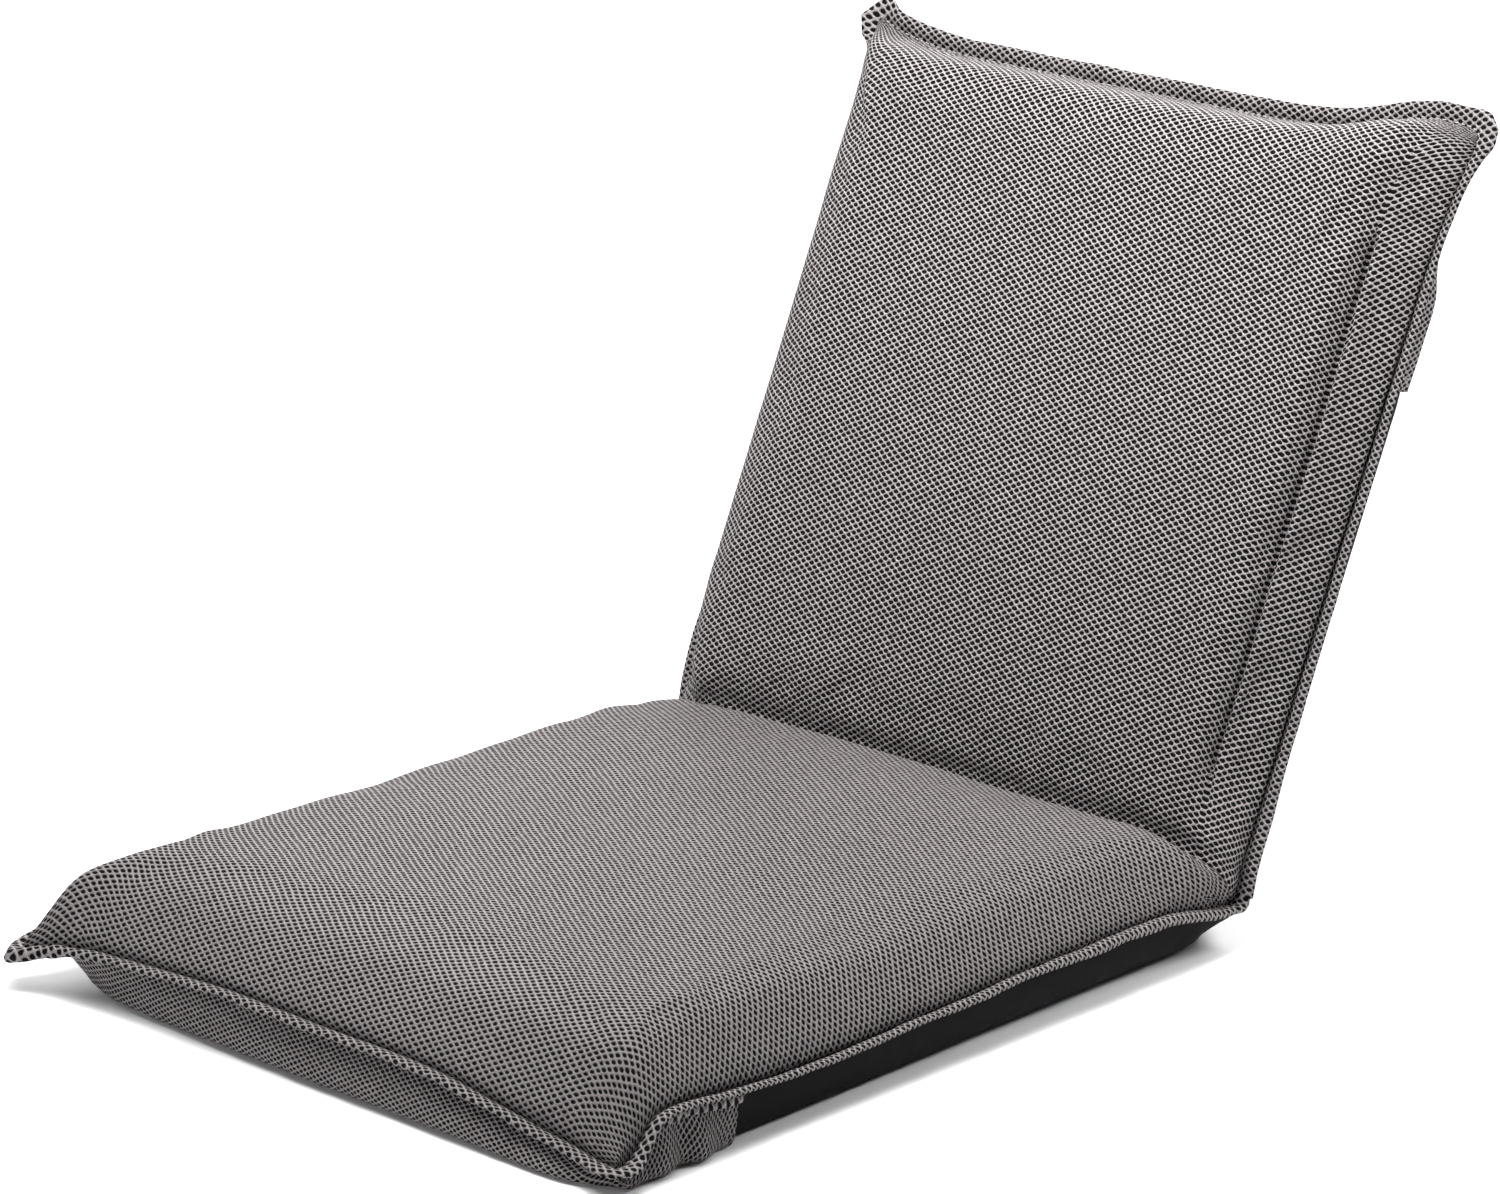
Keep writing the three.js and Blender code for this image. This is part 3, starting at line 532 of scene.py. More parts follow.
def back_rise(x, s):
    left = smooth((-x - 90) / 100)
    return 39.0 + 1.2 * smooth((s - 60) / 120) - 0.6 * smooth((s - 340) / 60) * (1 - left) + left * 2.4 * smooth((s - 200) / 120) - 3.2 * (1 - smooth((s - 12) / 58)) * (1 - left)


def seat_lumps(X, S):
    p = np.stack([X, S], -1)
    return 0.55 * wave(p, 3, 150.0) + 0.18 * wave(p, 5, 46.0)


def back_lumps(X, S):
    p = np.stack([X, S], -1)
    return 0.5 * wave(p, 11, 170.0) + 0.15 * wave(p, 13, 50.0)


seat_P = top_half(seat_at, seat_base, SEAT_IN, seat_rise, 6.5, 250, SEAT_SIDE, SEAT_SIDE, SEAT_END, seat_lumps, SEAT_FLARE, 31, SEAT_TUCK, SEAT_SIDE, 900.0)
back_P = top_half(back_at, back_base, BACK_IN, back_rise, 6.0, 230, BACK_LEFT, BACK_RIGHT, BACK_END, back_lumps, BACK_FLARE, 5, BACK_TUCK, BACK_RIGHT_TOP, 352.0)


def square_rows(P, UV):
    """The weave's rows run straight on from the top over the sides."""
    x = P[P.shape[0] // 2, :, 0] * 1000
    left, right = int(np.argmin(np.abs(x + INNER - 30))), int(np.argmin(np.abs(x - INNER + 30)))
    UV[:, :left, 1] = UV[:, left : left + 1, 1]
    UV[:, right + 1 :, 1] = UV[:, right : right + 1, 1]
    return UV


seat_UV = square_rows(seat_P, arc_uv(seat_P)) * np.array([1, -1])
back_UV = square_rows(back_P, arc_uv(back_P))
# past its groove the back's right side is cut with the weave turned over
turn = int(np.argmin(np.abs(back_P[back_P.shape[0] // 2, :, 0] * 1000 - (INNER - 17.0))))
past = back_UV[:, turn:, 0] - back_UV[:, turn : turn + 1, 0]
back_UV[:, turn:, 0] -= 2 * past
back_UV[:, turn:, 1] -= 0.24 * past
seat_P = drape(seat_P, UP, 3.0, 2.0)
back_P = drape(back_P, BACK_OUT, 3.0, 2.0)
seat_top = cloth_solid("seat_mesh_top", refine(seat_P), refine(seat_UV), UP)
back_top = cloth_solid("back_mesh_front", refine(back_P), refine(back_UV), BACK_OUT)


# ---- underside ----
LOW_SIDE = profile(
    [(0, 0), (-0.4, 0.08), (-0.6, 0.20), (-0.6, 0.36), (-0.2, 0.52), (0.7, 0.66), (2.2, 0.79),
     (4.6, 0.89), (8.0, 0.95), (12.5, 0.982), (19, 0.996), (38, 1)]
)
REAR_SIDE = profile(
    [(0, 0), (0.4, 0.09), (0.7, 0.22), (0.7, 0.37), (0.9, 0.52), (1.6, 0.66), (3.4, 0.79),
     (6.6, 0.895), (11.0, 0.955), (16.4, 0.985), (24, 0.997), (38, 1)]
)
HEEL_SIDE = profile(
    [(0, 0), (0.6, 0.12), (1.6, 0.25), (3.5, 0.385), (6.4, 0.51), (10.2, 0.64), (14.6, 0.765), (19.6, 0.87),
     (25, 0.945), (31, 0.985), (38, 1)]
)
LOW_N = 15


def low_columns(left, right=None):
    a, b = resample(left, LOW_N), resample(left if right is None else right, LOW_N)
    mid = np.linspace(-(INNER - a[-1, 0]), INNER - b[-1, 0], 40)[1:-1]
    x = np.r_[-(INNER - a[:, 0]), mid, (INNER - b[:, 0])[::-1]]
    share = np.r_[a[:, 1], np.ones(len(mid)), b[::-1, 1]]
    return x, share


def under_rows():
    """The black cloth: under the seat, round the hinge, up the rear of the back."""
    x0, share = low_columns(LOW_SIDE)
    x1, share1 = low_columns(REAR_SIDE)
    x2, share2 = low_columns(HEEL_SIDE)

    def inset(x, k):
        d = INNER - np.abs(x)
        return np.sign(x) * (INNER - np.where(d > 0, d * (1 + (k - 1) * np.exp(-((d / 27.0) ** 2))), d))

    out = []
    for s in np.r_[np.linspace(408, 30, 55), 22, 15]:
        x = inset(x0, np.interp(s, [0, 24, 56, 104, 153, 194, 231, 285, 354, 408], [2.9, 1.9, 1.5, 1.36, 1.1, 0.95, 0.77, 0.5, 0.28, 0.2]))
        heel = 1 - smooth((s - 2) / 27)
        x = lerp(x, x2, heel)
        b = seat_base(x, np.full_like(x, s)) - 0.8
        inside = 2.0 * smooth((s - 388) / 9)
        x = x - np.sign(x) * inside * 0.8
        out.append(seat_at(x, np.full_like(x, s), lerp(b, -(FZ - FLOOR_GAP) + inside, lerp(share, share2, heel))))
    first, last = math.radians(270), math.radians(math.degrees(ANGLE) + 90)
    for a in np.linspace(first, last, 9)[1:-1]:
        t = (first - a) / (first - last)
        x = lerp(x2, inset(x1, 2.5), smooth(t))
        rim = 4.4 + 1.2 * math.sin(math.pi * t)
        r = lerp(rim, lerp(FZ - FLOOR_GAP, 26.0, t) - 1.8 * math.sin(math.pi * t), lerp(share2, share1, smooth(t)))
        out.append(seat_at(x, r * math.cos(a), r * math.sin(a)))
    for s in np.r_[12, 20, np.linspace(30, 312, 42)]:
        x = inset(x1, np.interp(s, [0, 14, 40, 90], [2.1, 1.9, 1.25, 1.0]))
        b = back_base(x, np.full_like(x, s)) - 0.8
        out.append(back_at(x, np.full_like(x, s), lerp(b, -26.0 - 0.4 * math.sin(s / 40.0) + 1.2 * smooth((s - 286) / 8), share1)))
    return np.array(out)


under_P = under_rows()
under_UV = arc_uv(under_P)
under_panel = cloth_solid("under_panel", refine(under_P), refine(under_UV), -UP, thickness=1.1, rows_used=60)

# ---- the mesh wrap under the seat's front ----
WRAP_RIGHT = profile(
    [(0, 0), (-3.4, 0.05), (-5.2, 0.11), (-4.2, 0.18), (-4.8, 0.27), (-6.4, 0.40), (-7.8, 0.54), (-9.2, 0.68),
     (-9.8, 0.82), (-9.0, 0.93), (-6.2, 0.98), (-1, 0.995), (12, 1.0), (38, 1)]
)
WRAP_LEFT = profile(
    [(0, 0), (0.2, 0.08), (0.8, 0.20), (2.4, 0.34), (5.2, 0.48), (9, 0.61), (13.8, 0.73),
     (19.6, 0.83), (26, 0.905), (34, 0.96), (43, 0.99), (54, 1)]
)
WRAP_END = profile(
    [(0, 0), (-2.6, 0.06), (-5.2, 0.16), (-7.2, 0.30), (-8.6, 0.45), (-9.4, 0.59), (-9.9, 0.72),
     (-9.8, 0.835), (-8.3, 0.925), (-4.4, 0.975), (3, 0.995), (18, 1)]
)
# how far the wrap's lower front edge stands back from its usual place
WRAP_BACK = table(
    [(-209, 14.5), (-190, 11.0), (-165, 5.6), (-126, 1.6), (-75, -0.6), (-21, -2.4), (19, -3.2), (74, -4.0),
     (130, -5.2), (170, -6.0), (186, -4.4), (198, -0.5), (212, 8)]
)


def wrap_grid():
    x0, share = low_columns(WRAP_LEFT, WRAP_RIGHT)
    E = resample(WRAP_END, 17)
    runs = np.linspace(386, SEAT_IN - E[-1, 0], 16)
    out = []
    for i in range(len(runs) + 16):
        if i < len(runs):
            es, ed = 1.0, 0.0
            lean = 1 - (runs[i] - runs[0]) / (runs[-1] - runs[0])
            s = runs[i] + 11.0 * share * lean
        else:
            ed, es = E[15 - (i - len(runs))]
            s = np.full_like(x0, SEAT_IN - ed)
            s = np.where(ed < 0, SEAT_IN - ed * np.clip(share * 1.15, 0, 1), s)
        full = both(share, es)
        ahead = smooth((s - 430) / 44)
        s = s - WRAP_BACK(x0) * ahead * smooth(full * 1.3)
        by = np.maximum(np.abs(x0) - INNER, 0)
        hem = np.interp(s, [384, 398, 425], [0.3, 0.5, 1.0])
        x = np.sign(x0) * (np.minimum(np.abs(x0), INNER) + by * min(1.0, 0.2 + es) * hem)
        # loose upright folds in its right side
        side = smooth((np.abs(x) - 180) / 20) * smooth(full * 1.8)
        fold = 2.6 * np.exp(-(((s - 419) / 8.0) ** 2)) - 3.0 * np.exp(-(((s - 434) / 6.0) ** 2)) + 1.6 * np.exp(-(((s - 448) / 8.0) ** 2)) - 1.2 * np.exp(-(((s - 462) / 6.0) ** 2)) + 1.5 * np.exp(-(((s - 392) / 9.0) ** 2))
        x = x + np.where(x0 > 0, 1, 0.3) * np.sign(x0) * side * fold * (es > 0.7)
        h = lerp(seat_base(x, s) - 0.8, -(FZ - FLOOR_GAP), full)
        wrinkle = 0.7 * wave(np.stack([x, s * 0.35, h * 2.2], -1), 37, 46.0) * smooth(full * 3) * smooth((0.97 - full) * 6)
        s = s + wrinkle * (es < 1)
        out.append(seat_at(x, s, h))
    return np.array(out)


wrap_P = wrap_grid()
wrap_UV = arc_uv(wrap_P) * np.array([1.22, 1.25])  # drawn together there
front_wrap = cloth_solid("front_wrap", refine(wrap_P), refine(wrap_UV), -UP)

# ---- the mesh hood over the top of the rear ----
HOOD_SIDE = profile(
    [(0, 0), (-1.6, 0.10), (-2.6, 0.22), (-3.2, 0.36), (-3.4, 0.50), (-3.0, 0.63), (-1.6, 0.76),
     (1.2, 0.87), (5.6, 0.94), (11.4, 0.977), (20, 0.994), (38, 1)]
)
HOOD_END = profile(
    [(0, 0), (-1.0, 0.08), (-1.6, 0.2), (-1.6, 0.34), (-1.0, 0.48), (0.2, 0.61), (2.2, 0.73),
     (5.2, 0.835), (9.6, 0.915), (15.6, 0.965), (24, 0.992), (36, 1)]
)


def hood_grid():
    x0, share = low_columns(HOOD_SIDE)
    E = resample(HOOD_END, 16)
    runs = np.linspace(290, BACK_IN - E[-1, 0], 20)
    out = []
    for i in range(len(runs) + 15):
        if i < len(runs):
            es = 1.0
            lean = smooth((runs[-1] - runs[i]) / (runs[-1] - runs[0]))
            s = runs[i] + lean * 5.0 * share
        else:
            ed, es = E[14 - (i - len(runs))]
            s = np.full_like(x0, BACK_IN - ed)
        full = both(share, es)
        by = np.maximum(np.abs(x0) - INNER, 0)
        grow = np.interp(s, [286, 291, 297, 304, 312, 322, 334, 345, 357, 424], [0.03, 0.22, 0.40, 0.55, 0.68, 0.72, 0.48, 0.22, 0.0, 0.0])
        x = np.sign(x0) * (np.minimum(np.abs(x0), INNER) + by * grow)
        # thinner towards its two corners
        thin = 8.0 * np.interp(s, [340, 350, 357, 370, 380], [0, 0.12, 0.45, 0.9, 1.0]) * smooth((share - 0.3) / 0.55)
        x = x - np.sign(x0) * thin * np.clip(np.abs(x0) / 190, 0, 1) ** 6
        fx, fs = flared(x, s, BACK_IN, BACK_FLARE)
        near = 1 - smooth(full * 2.2)
        x, s = lerp(x, fx, near), lerp(s, fs, near)
        h = lerp(back_base(x, s) - 0.8, -27.6, full)
        h = h + 0.6 * wave(np.stack([x, s], -1), 31, 60.0) * smooth(full * 1.4 - 0.3)
        out.append(back_at(x, s, h))
    return np.array(out)


hood_P = hood_grid()
hood_UV = arc_uv(hood_P)
rear_hood = cloth_solid("rear_hood", refine(hood_P), refine(hood_UV), -BACK_OUT)


# ---- flange: one flat double edge round seat and back ----
def curve(points, n):
    """n points on a smooth curve through the given ones, evenly spread."""
    p = np.array(points, float)
    ext = np.concatenate([2 * p[:1] - p[1:2], p, 2 * p[-1:] - p[-2:-1]])
    fine = []
    for i in range(len(p) - 1):
        a, b, c, d = ext[i : i + 4]
        t = np.linspace(0, 1, 24, endpoint=False)[:, None]
        fine.append(0.5 * (2 * b + (c - a) * t + (2 * a - 5 * b + 4 * c - d) * t**2 + (3 * b - a - 3 * c + d) * t**3))
    fine = np.concatenate(fine + [p[-1:]])
    return spread(fine, n)


def spread(p, n):
    step = np.r_[0, np.cumsum(np.linalg.norm(np.diff(p, axis=0), axis=1))]
    at = np.linspace(0, step[-1], n)
    return np.stack([np.interp(at, step, p[:, k]) for k in range(p.shape[1])], -1)


def seam(length_in, flares):
    """The seam from the hinge on the right, round the end, to the hinge on the left."""
    s = np.linspace(4, length_in, 240)
    x = np.linspace(INNER, -INNER, 240)
    right = np.stack(flared(np.full_like(s, INNER), s, length_in, flares), -1)
    end = np.stack(flared(x, np.full_like(x, length_in), length_in, flares), -1)
    left = np.stack(flared(np.full_like(s, -INNER), s[::-1], length_in, flares), -1)
    p = spread(np.concatenate([right, end[1:], left[1:]]), 1400)
    w = np.hanning(17)
    w /= w.sum()
    q = p.copy()
    for k in range(2):
        q[8:-8, k] = np.convolve(p[:, k], w, "valid")
    return q


def loop_points(base, length_in, flares, n, seed, curl, narrow=None):
    q = spread(seam(length_in, flares), n)
    lengths = np.r_[0, np.cumsum(np.linalg.norm(np.diff(q, axis=0), axis=1))]
    along = np.gradient(q, axis=0)
    along /= np.linalg.norm(along, axis=1, keepdims=True)
    out = np.stack([along[:, 1], -along[:, 0]], -1)
    ends = smooth(lengths / 60) * smooth((lengths[-1] - lengths) / 60)
    width = 11.0 + 0.4 * wave(lengths[:, None], seed + 7, 60.0, 2) * ends
    if narrow is not None:
        width = width * np.where((q[:, 0] > 190) & (q[:, 1] < length_in + 4), narrow(q[:, 1]), 1)
        w = np.hanning(25)
        width = np.convolve(np.pad(width, 12, "edge"), w / w.sum(), "valid")
    width = width - 6.0 * (q[:, 0] < 0) * (1 - smooth((q[:, 1] - 6) / 52))
    for k_side, tip in ((-1, 6.4), (1, 4.4)):
        c = np.stack(flared(np.array([k_side * INNER]), np.array([float(length_in)]), length_in, flares), -1)
        width = width + tip * np.exp(-((np.linalg.norm(q - c, axis=1) / 7.0) ** 2))
    o = q + out * width[:, None]
    # the outer line never crosses itself where the seam turns inwards
    b_in = base(q[:, 0], q[:, 1])
    b_out = base(o[:, 0], o[:, 1]) + 0.8 * wave(lengths[:, None], seed, 75.0, 2) * ends + curl(o[:, 0], o[:, 1])
    return q[:, 0], q[:, 1], b_in, o[:, 0], o[:, 1], b_out, out


def seat_curl(x, s):
    """The right edge hangs lower towards the hinge."""
    hang = np.interp(s, [4, 15, 30, 45, 60, 90, 134, 180], [0, 1.1, 2.3, 2.6, 2.4, 1.8, 0.9, 0.2])
    return -hang * smooth((x - 150) / 30) * (1 - smooth((s - 175) / 20))


def back_curl(x, s):
    return 2.0 * smooth((s - 424) / 16) * smooth((np.abs(x) - 150) / 50)


BACK_NARROW = table([(0, 1.15), (40, 1.12), (100, 0.93), (200, 0.84), (300, 0.78), (350, 0.72), (380, 0.64), (400, 0.6), (424, 0.66), (436, 0.8)])

SECTION = [  # along the width from seam to edge, then half thickness
    (-0.25, 0.7), (-0.04, 0.45), (0.09, 0.5), (0.19, 0.8), (0.36, 1.25), (0.6, 1.6), (0.82, 1.5), (0.94, 1.0), (1.0, 0.0),
]
SINK = table([(-0.25, 3.8), (0.0, 3.8), (0.09, 3.7), (0.2, 3.0), (0.36, 1.9), (0.6, 1.0), (1.0, 0.9)])


SEAT_SEAM = table([(0, -0.35), (25, -0.1), (60, 0.35), (150, 0.7), (300, 0.85), (410, 0.9), (440, 0.45), (474, 0.3)])
BACK_SEAM_DEPTH = table([(0, -0.2), (14, 0.35), (30, 0.95), (310, 1.0), (350, 0.6), (380, 0.25), (424, 0.2)])
SEAT_FULL = table([(0, 1.25), (20, 1.5), (60, 1.7), (120, 1.45), (220, 1.1), (300, 1.0), (474, 1.0)])


def section():
    up = [(k, t) for k, t in SECTION] + [(k, -t) for k, t in SECTION[-2::-1]]
    arc = np.r_[0, np.cumsum([math.hypot((up[i + 1][0] - up[i][0]) * 11, up[i + 1][1] - up[i][1]) for i in range(len(up) - 1)])] - 2.75
    return up, arc


def flange_mesh():
    up, arc = section()
    rows = []
    uvs = []
    for place, base, length_in, flares, n, seed, curl in (
        (seat_at, seat_base, SEAT_IN, SEAT_FLARE, 560, 21, seat_curl),
        (back_at, back_base, BACK_IN, BACK_FLARE, 520, 22, back_curl),
    ):
        ix, is_, hin, ox, os_, hout, out_dir = loop_points(base, length_in, flares, n, seed, curl, BACK_NARROW if place is back_at else None)
        ring, ring_uv = [], []
        ear = np.hypot(ix + 222, is_ - 490) if place is seat_at else np.full_like(ix, 999.0)
        puff = 1 + 1.7 * np.exp(-((ear / 24.0) ** 2)) + 0.12 * wave(np.arange(len(ix))[:, None] * 1.0, seed + 3, 14.0, 2)
        if place is seat_at:
            on_end = smooth((is_ - 470) / 8) * (1 - smooth((np.abs(ix) - 196) / 10))
            deep = lerp(SEAT_SEAM(is_), -0.4, on_end)
            deep = np.where(ix < 0, np.minimum(deep, 0.4), deep)
            puff = puff * lerp(SEAT_FULL(is_), 1.55, on_end)
        else:
            on_end = smooth((is_ - 420) / 6) * (1 - smooth((np.abs(ix) - 170) / 30))
            deep = lerp(BACK_SEAM_DEPTH(is_), 0.75, on_end)
            deep = np.where(ix < 0, np.maximum(deep, 0.6), deep)
            deep = lerp(deep, -0.4, smooth((ix - 130) / 50) * smooth((is_ - 396) / 16))
        w = np.hanning(21)
        deep = np.convolve(np.pad(deep, 10, "edge"), w / w.sum(), "valid")
        for (k, t), a in zip(up, arc):
            x, s = lerp(ix, ox, k), lerp(is_, os_, k)
            h = lerp(hin, hout, k) + t * lerp(1, puff, np.clip((k + 0.25) / lerp(0.3, 0.5, np.clip(deep, 0, 1)), 0, 1)) - SINK(k) * lerp(0.3, 1, deep)
            ring.append(place(x, s, h))
            ring_uv.append(np.stack([ix, is_], -1) + out_dir * a)
        P = np.stack(ring, 1)
        U = np.stack(ring_uv, 1) / 1000
        if place is seat_at:
            U = U * np.array([1, -1])
        else:
            P, U = P[::-1], U[::-1]
        rows.append(P)
        uvs.append(U)
    seat_ring, back_ring = rows  # seat: right hinge -> front -> left hinge; back: left hinge -> top -> right hinge
    m = seat_ring.shape[1]

    def bend(k):
        """Round the hinge corner, from the seat's last row to the back's first, at one side."""
        out, uv = [], []
        line = curve([(4, -3.9), (0.9, -3.95), (-1.9, -3.0), (-3.9, -0.9), (-4.97, 2.06)], 11)
        tangent = np.gradient(line, axis=0)
        for j, ((s, h), (ts, th)) in enumerate(zip(line[1:-1], tangent[1:-1])):
            n = np.array([th, -ts]) / math.hypot(ts, th)
            n = -n if n @ np.array([math.cos(HALF), math.sin(HALF)]) < 0 else n
            swell = 0.9 * math.sin(math.pi * (j + 1) / 10)
            row = [seat_at(k * lerp(INNER, (OUTER if k > 0 else OUTER - 6.0) + swell, a), s + n[0] * (t * 1.25 - SINK(a) * 0.1), h + n[1] * (t * 1.25 - SINK(a) * 0.1)) for a, t in up]
            out.append(row)
            uv.append([(k * (INNER + c) / 1000, (-4 + j) / 1000) for c in arc])
        return np.array(out), np.array(uv)

    left_bend, left_uv = bend(-1)
    right_bend, right_uv = bend(1)
    P = np.concatenate([seat_ring, left_bend, back_ring, right_bend[::-1]])
    U = np.concatenate([uvs[0], left_uv, uvs[1], right_uv[::-1]])
    return P, U


flange_P, flange_U = flange_mesh()


def ring_solid(name, P, U):
    """A closed ring whose rows are closed sections."""
    n, m = P.shape[:2]
    idx = np.arange(n * m).reshape(n, m)
    nr = np.roll(idx, -1, axis=0)
    nc = np.roll(idx, -1, axis=1)
    nn = np.roll(nr, -1, axis=1)
    faces = np.stack([idx.ravel(), nc.ravel(), nn.ravel(), nr.ravel()], -1)
    return new_object(name, P.reshape(-1, 3), faces.tolist(), U.reshape(-1, 2))


flange_loop = ring_solid("flange_loop", flange_P, flange_U)


# ---- topstitching ----
def stitches(name, path, normal, pitch=4.4, long=3.0, r=0.42, sink=0.1, closed=True):
    """Short threads along a path of points (mm), each lying on the cloth."""
    p = np.asarray(path)
    if closed:
        p = np.concatenate([p, p[:1]])
        nrm = np.concatenate([normal, normal[:1]])
    else:
        nrm = normal
    step = np.r_[0, np.cumsum(np.linalg.norm(np.diff(p, axis=0), axis=1))]
    count = int(step[-1] / (pitch / 1000))
    at = (np.arange(count) + 0.5) * step[-1] / count
    rng = np.random.default_rng(5)
    verts, faces = [], []
    sides, rings = 6, [(-1.0, 0.25), (-0.8, 0.8), (-0.3, 1.0), (0.3, 1.0), (0.8, 0.8), (1.0, 0.25)]
    for a in at:
        a = a + rng.uniform(-0.15, 0.15) / 1000
        c = np.array([np.interp(a, step, p[:, k]) for k in range(3)])
        d = np.array([np.interp(a + 1e-3, step, p[:, k]) - np.interp(a - 1e-3, step, p[:, k]) for k in range(3)])
        d /= np.linalg.norm(d)
        u = np.array([np.interp(a, step, nrm[:, k]) for k in range(3)])
        u -= d * (u @ d)
        u /= np.linalg.norm(u)
        w = np.cross(d, u)
        first = len(verts)
        for t, k in rings:
            lift = (r * 0.6 - sink) - 0.55 * r * t * t
            o = c + d * (t * long / 2000) + u * lift / 1000
            for q in range(sides):
                ang = 2 * math.pi * q / sides
                verts.append(o + (w * math.cos(ang) + u * math.sin(ang)) * r * k / 1000)
        for i in range(len(rings) - 1):
            for q in range(sides):
                b = first + i * sides
                faces.append([b + q, b + (q + 1) % sides, b + sides + (q + 1) % sides, b + sides + q])
        faces.append([first + q for q in range(sides)][::-1])
        faces.append([first + (len(rings) - 1) * sides + q for q in range(sides)])
    return new_object(name, np.array(verts), faces)


def ring_normals(P):
    n = np.cross(np.roll(P, -1, 0) - np.roll(P, 1, 0), np.roll(P, -1, 1) - np.roll(P, 1, 1))
    return n / np.maximum(np.linalg.norm(n, axis=-1, keepdims=True), 1e-12)


FN = ring_normals(flange_P)
centre = flange_P.mean(1, keepdims=True)
if ((FN * (flange_P - centre)).sum(-1).mean()) < 0:
    FN = -FN
upper_row, lower_row = 2, flange_P.shape[1] - 3
stitch_upper = stitches("topstitch_upper", flange_P[:, upper_row], FN[:, upper_row])
stitch_lower = stitches("topstitch_lower", flange_P[:, lower_row], FN[:, lower_row])


# ---- hems ----
def band(name, centre, across_dir, out_dir, half_width, half_thick, sides=16):
    """A flat folded band along the points centre, closed at both ends."""
    n = len(centre)
    t = np.linspace(0, 1, n)
    end = np.sqrt(np.clip(1 - (2 * np.clip(np.minimum(t, 1 - t) / 0.03, 0, 1) / 2 - 1) ** 2, 0.02, 1))
    verts = []
    for i in range(n):
        for q in range(sides):
            a = 2 * math.pi * q / sides
            c, d = math.cos(a), math.sin(a)
            c = math.copysign(abs(c) ** 0.7, c)
            verts.append(centre[i] + (across_dir[i] * c * half_width + out_dir[i] * d * half_thick) * end[i] / 1000)
    faces = []
    for i in range(n - 1):
        for q in range(sides):
            r = (q + 1) % sides
            faces.append([i * sides + q, i * sides + r, (i + 1) * sides + r, (i + 1) * sides + q])
    faces.append([q for q in range(sides)][::-1])
    faces.append([(n - 1) * sides + q for q in range(sides)])
    length = np.r_[0, np.cumsum(np.linalg.norm(np.diff(centre, axis=0), axis=1))]
    uv = [(length[i], 2 * half_width / 1000 * (q / sides)) for i in range(n) for q in range(sides)]
    return new_object(name, np.array(verts), faces, np.array(uv))


def unit(v):
    return v / np.maximum(np.linalg.norm(v, axis=-1, keepdims=True), 1e-12)


# the top edge of the wrap's right end is folded over and stands off under the flange
fold_s = np.linspace(458, 388, 50)
fold_x = np.interp(fold_s, [388, 410, 440, 458], [215.6, 215.2, 214.8, 212.6]) + 0.5 * np.sin(fold_s / 7.0)
fold_h = seat_base(fold_x, fold_s) - np.interp(fold_s, [388, 396, 450, 458], [5.0, 5.4, 5.0, 4.0])
fold_c = seat_at(fold_x, fold_s, fold_h)
fold_out = unit(np.stack([np.full(50, 1.0), np.full(50, 0.0), np.full(50, 0.25)], -1))
fold_up = unit(np.stack([np.full(50, -0.25), np.full(50, 0.0), np.full(50, 1.0)], -1))
wrap_fold = band("front_wrap_fold", fold_c, fold_up, fold_out, 2.5, 1.5)

wrap_fine = refine(wrap_P)
wrap_fine_N = normals_of(wrap_fine) * (-1 if faces_back(wrap_P, -UP) else 1)
hood_fine = refine(hood_P)
hood_fine_N = normals_of(hood_fine) * (-1 if faces_back(hood_P, -BACK_OUT) else 1)
hem_wrap = stitches("wrap_hem_stitch", wrap_fine[3], wrap_fine_N[3], sink=0.22, closed=False)
hem_hood = stitches("hood_hem_stitch", hood_fine[3], hood_fine_N[3], sink=0.15, closed=False)


# ---- gussets: a little mesh under the crease's ends, seen when the chair lies flat ----
def gusset(name, k):
    C = resample(CREASE_SIDE if k > 0 else CREASE_LEFT, SIDE_N)
    xs = k * (INNER - 1.0 - np.clip(C[:, 0], -4.5, None))
    order = np.argsort(xs)
    r = lerp(-2.0, CREASE_R - 3.0, C[:, 1])
    out = []
    for t in np.linspace(-1, 1, 13):
        reach = 20.0 * abs(t)
        s = r * math.cos(HALF) + reach * smooth(C[:, 1] * 2.5 + 0.2)
        h = r * math.sin(HALF) * 1.0 - 0.6
        place = seat_at if t < 0 else back_at
        out.append(place(xs, s, h))
    P = np.array(out)
    mid = 6
    P[mid] = seat_at(xs, (r - 1.2) * math.cos(HALF), (r - 1.2) * math.sin(HALF))
    return cloth_solid(name, refine(P), refine(arc_uv(P)), CREASE_OUT, thickness=1.2), refine(P)


gusset_left, gusset_left_P = gusset("gusset_left", -1)
gusset_right, gusset_right_P = gusset("gusset_right", 1)


# ---- materials ----
def nodes_of(name):
    m = bpy.data.materials.new(name)
    m.use_nodes = True
    t = m.node_tree
    t.nodes.clear()
    out = t.nodes.new("ShaderNodeOutputMaterial")
    bsdf = t.nodes.new("ShaderNodeBsdfPrincipled")
    t.links.new(bsdf.outputs[0], out.inputs[0])
    return m, t, bsdf


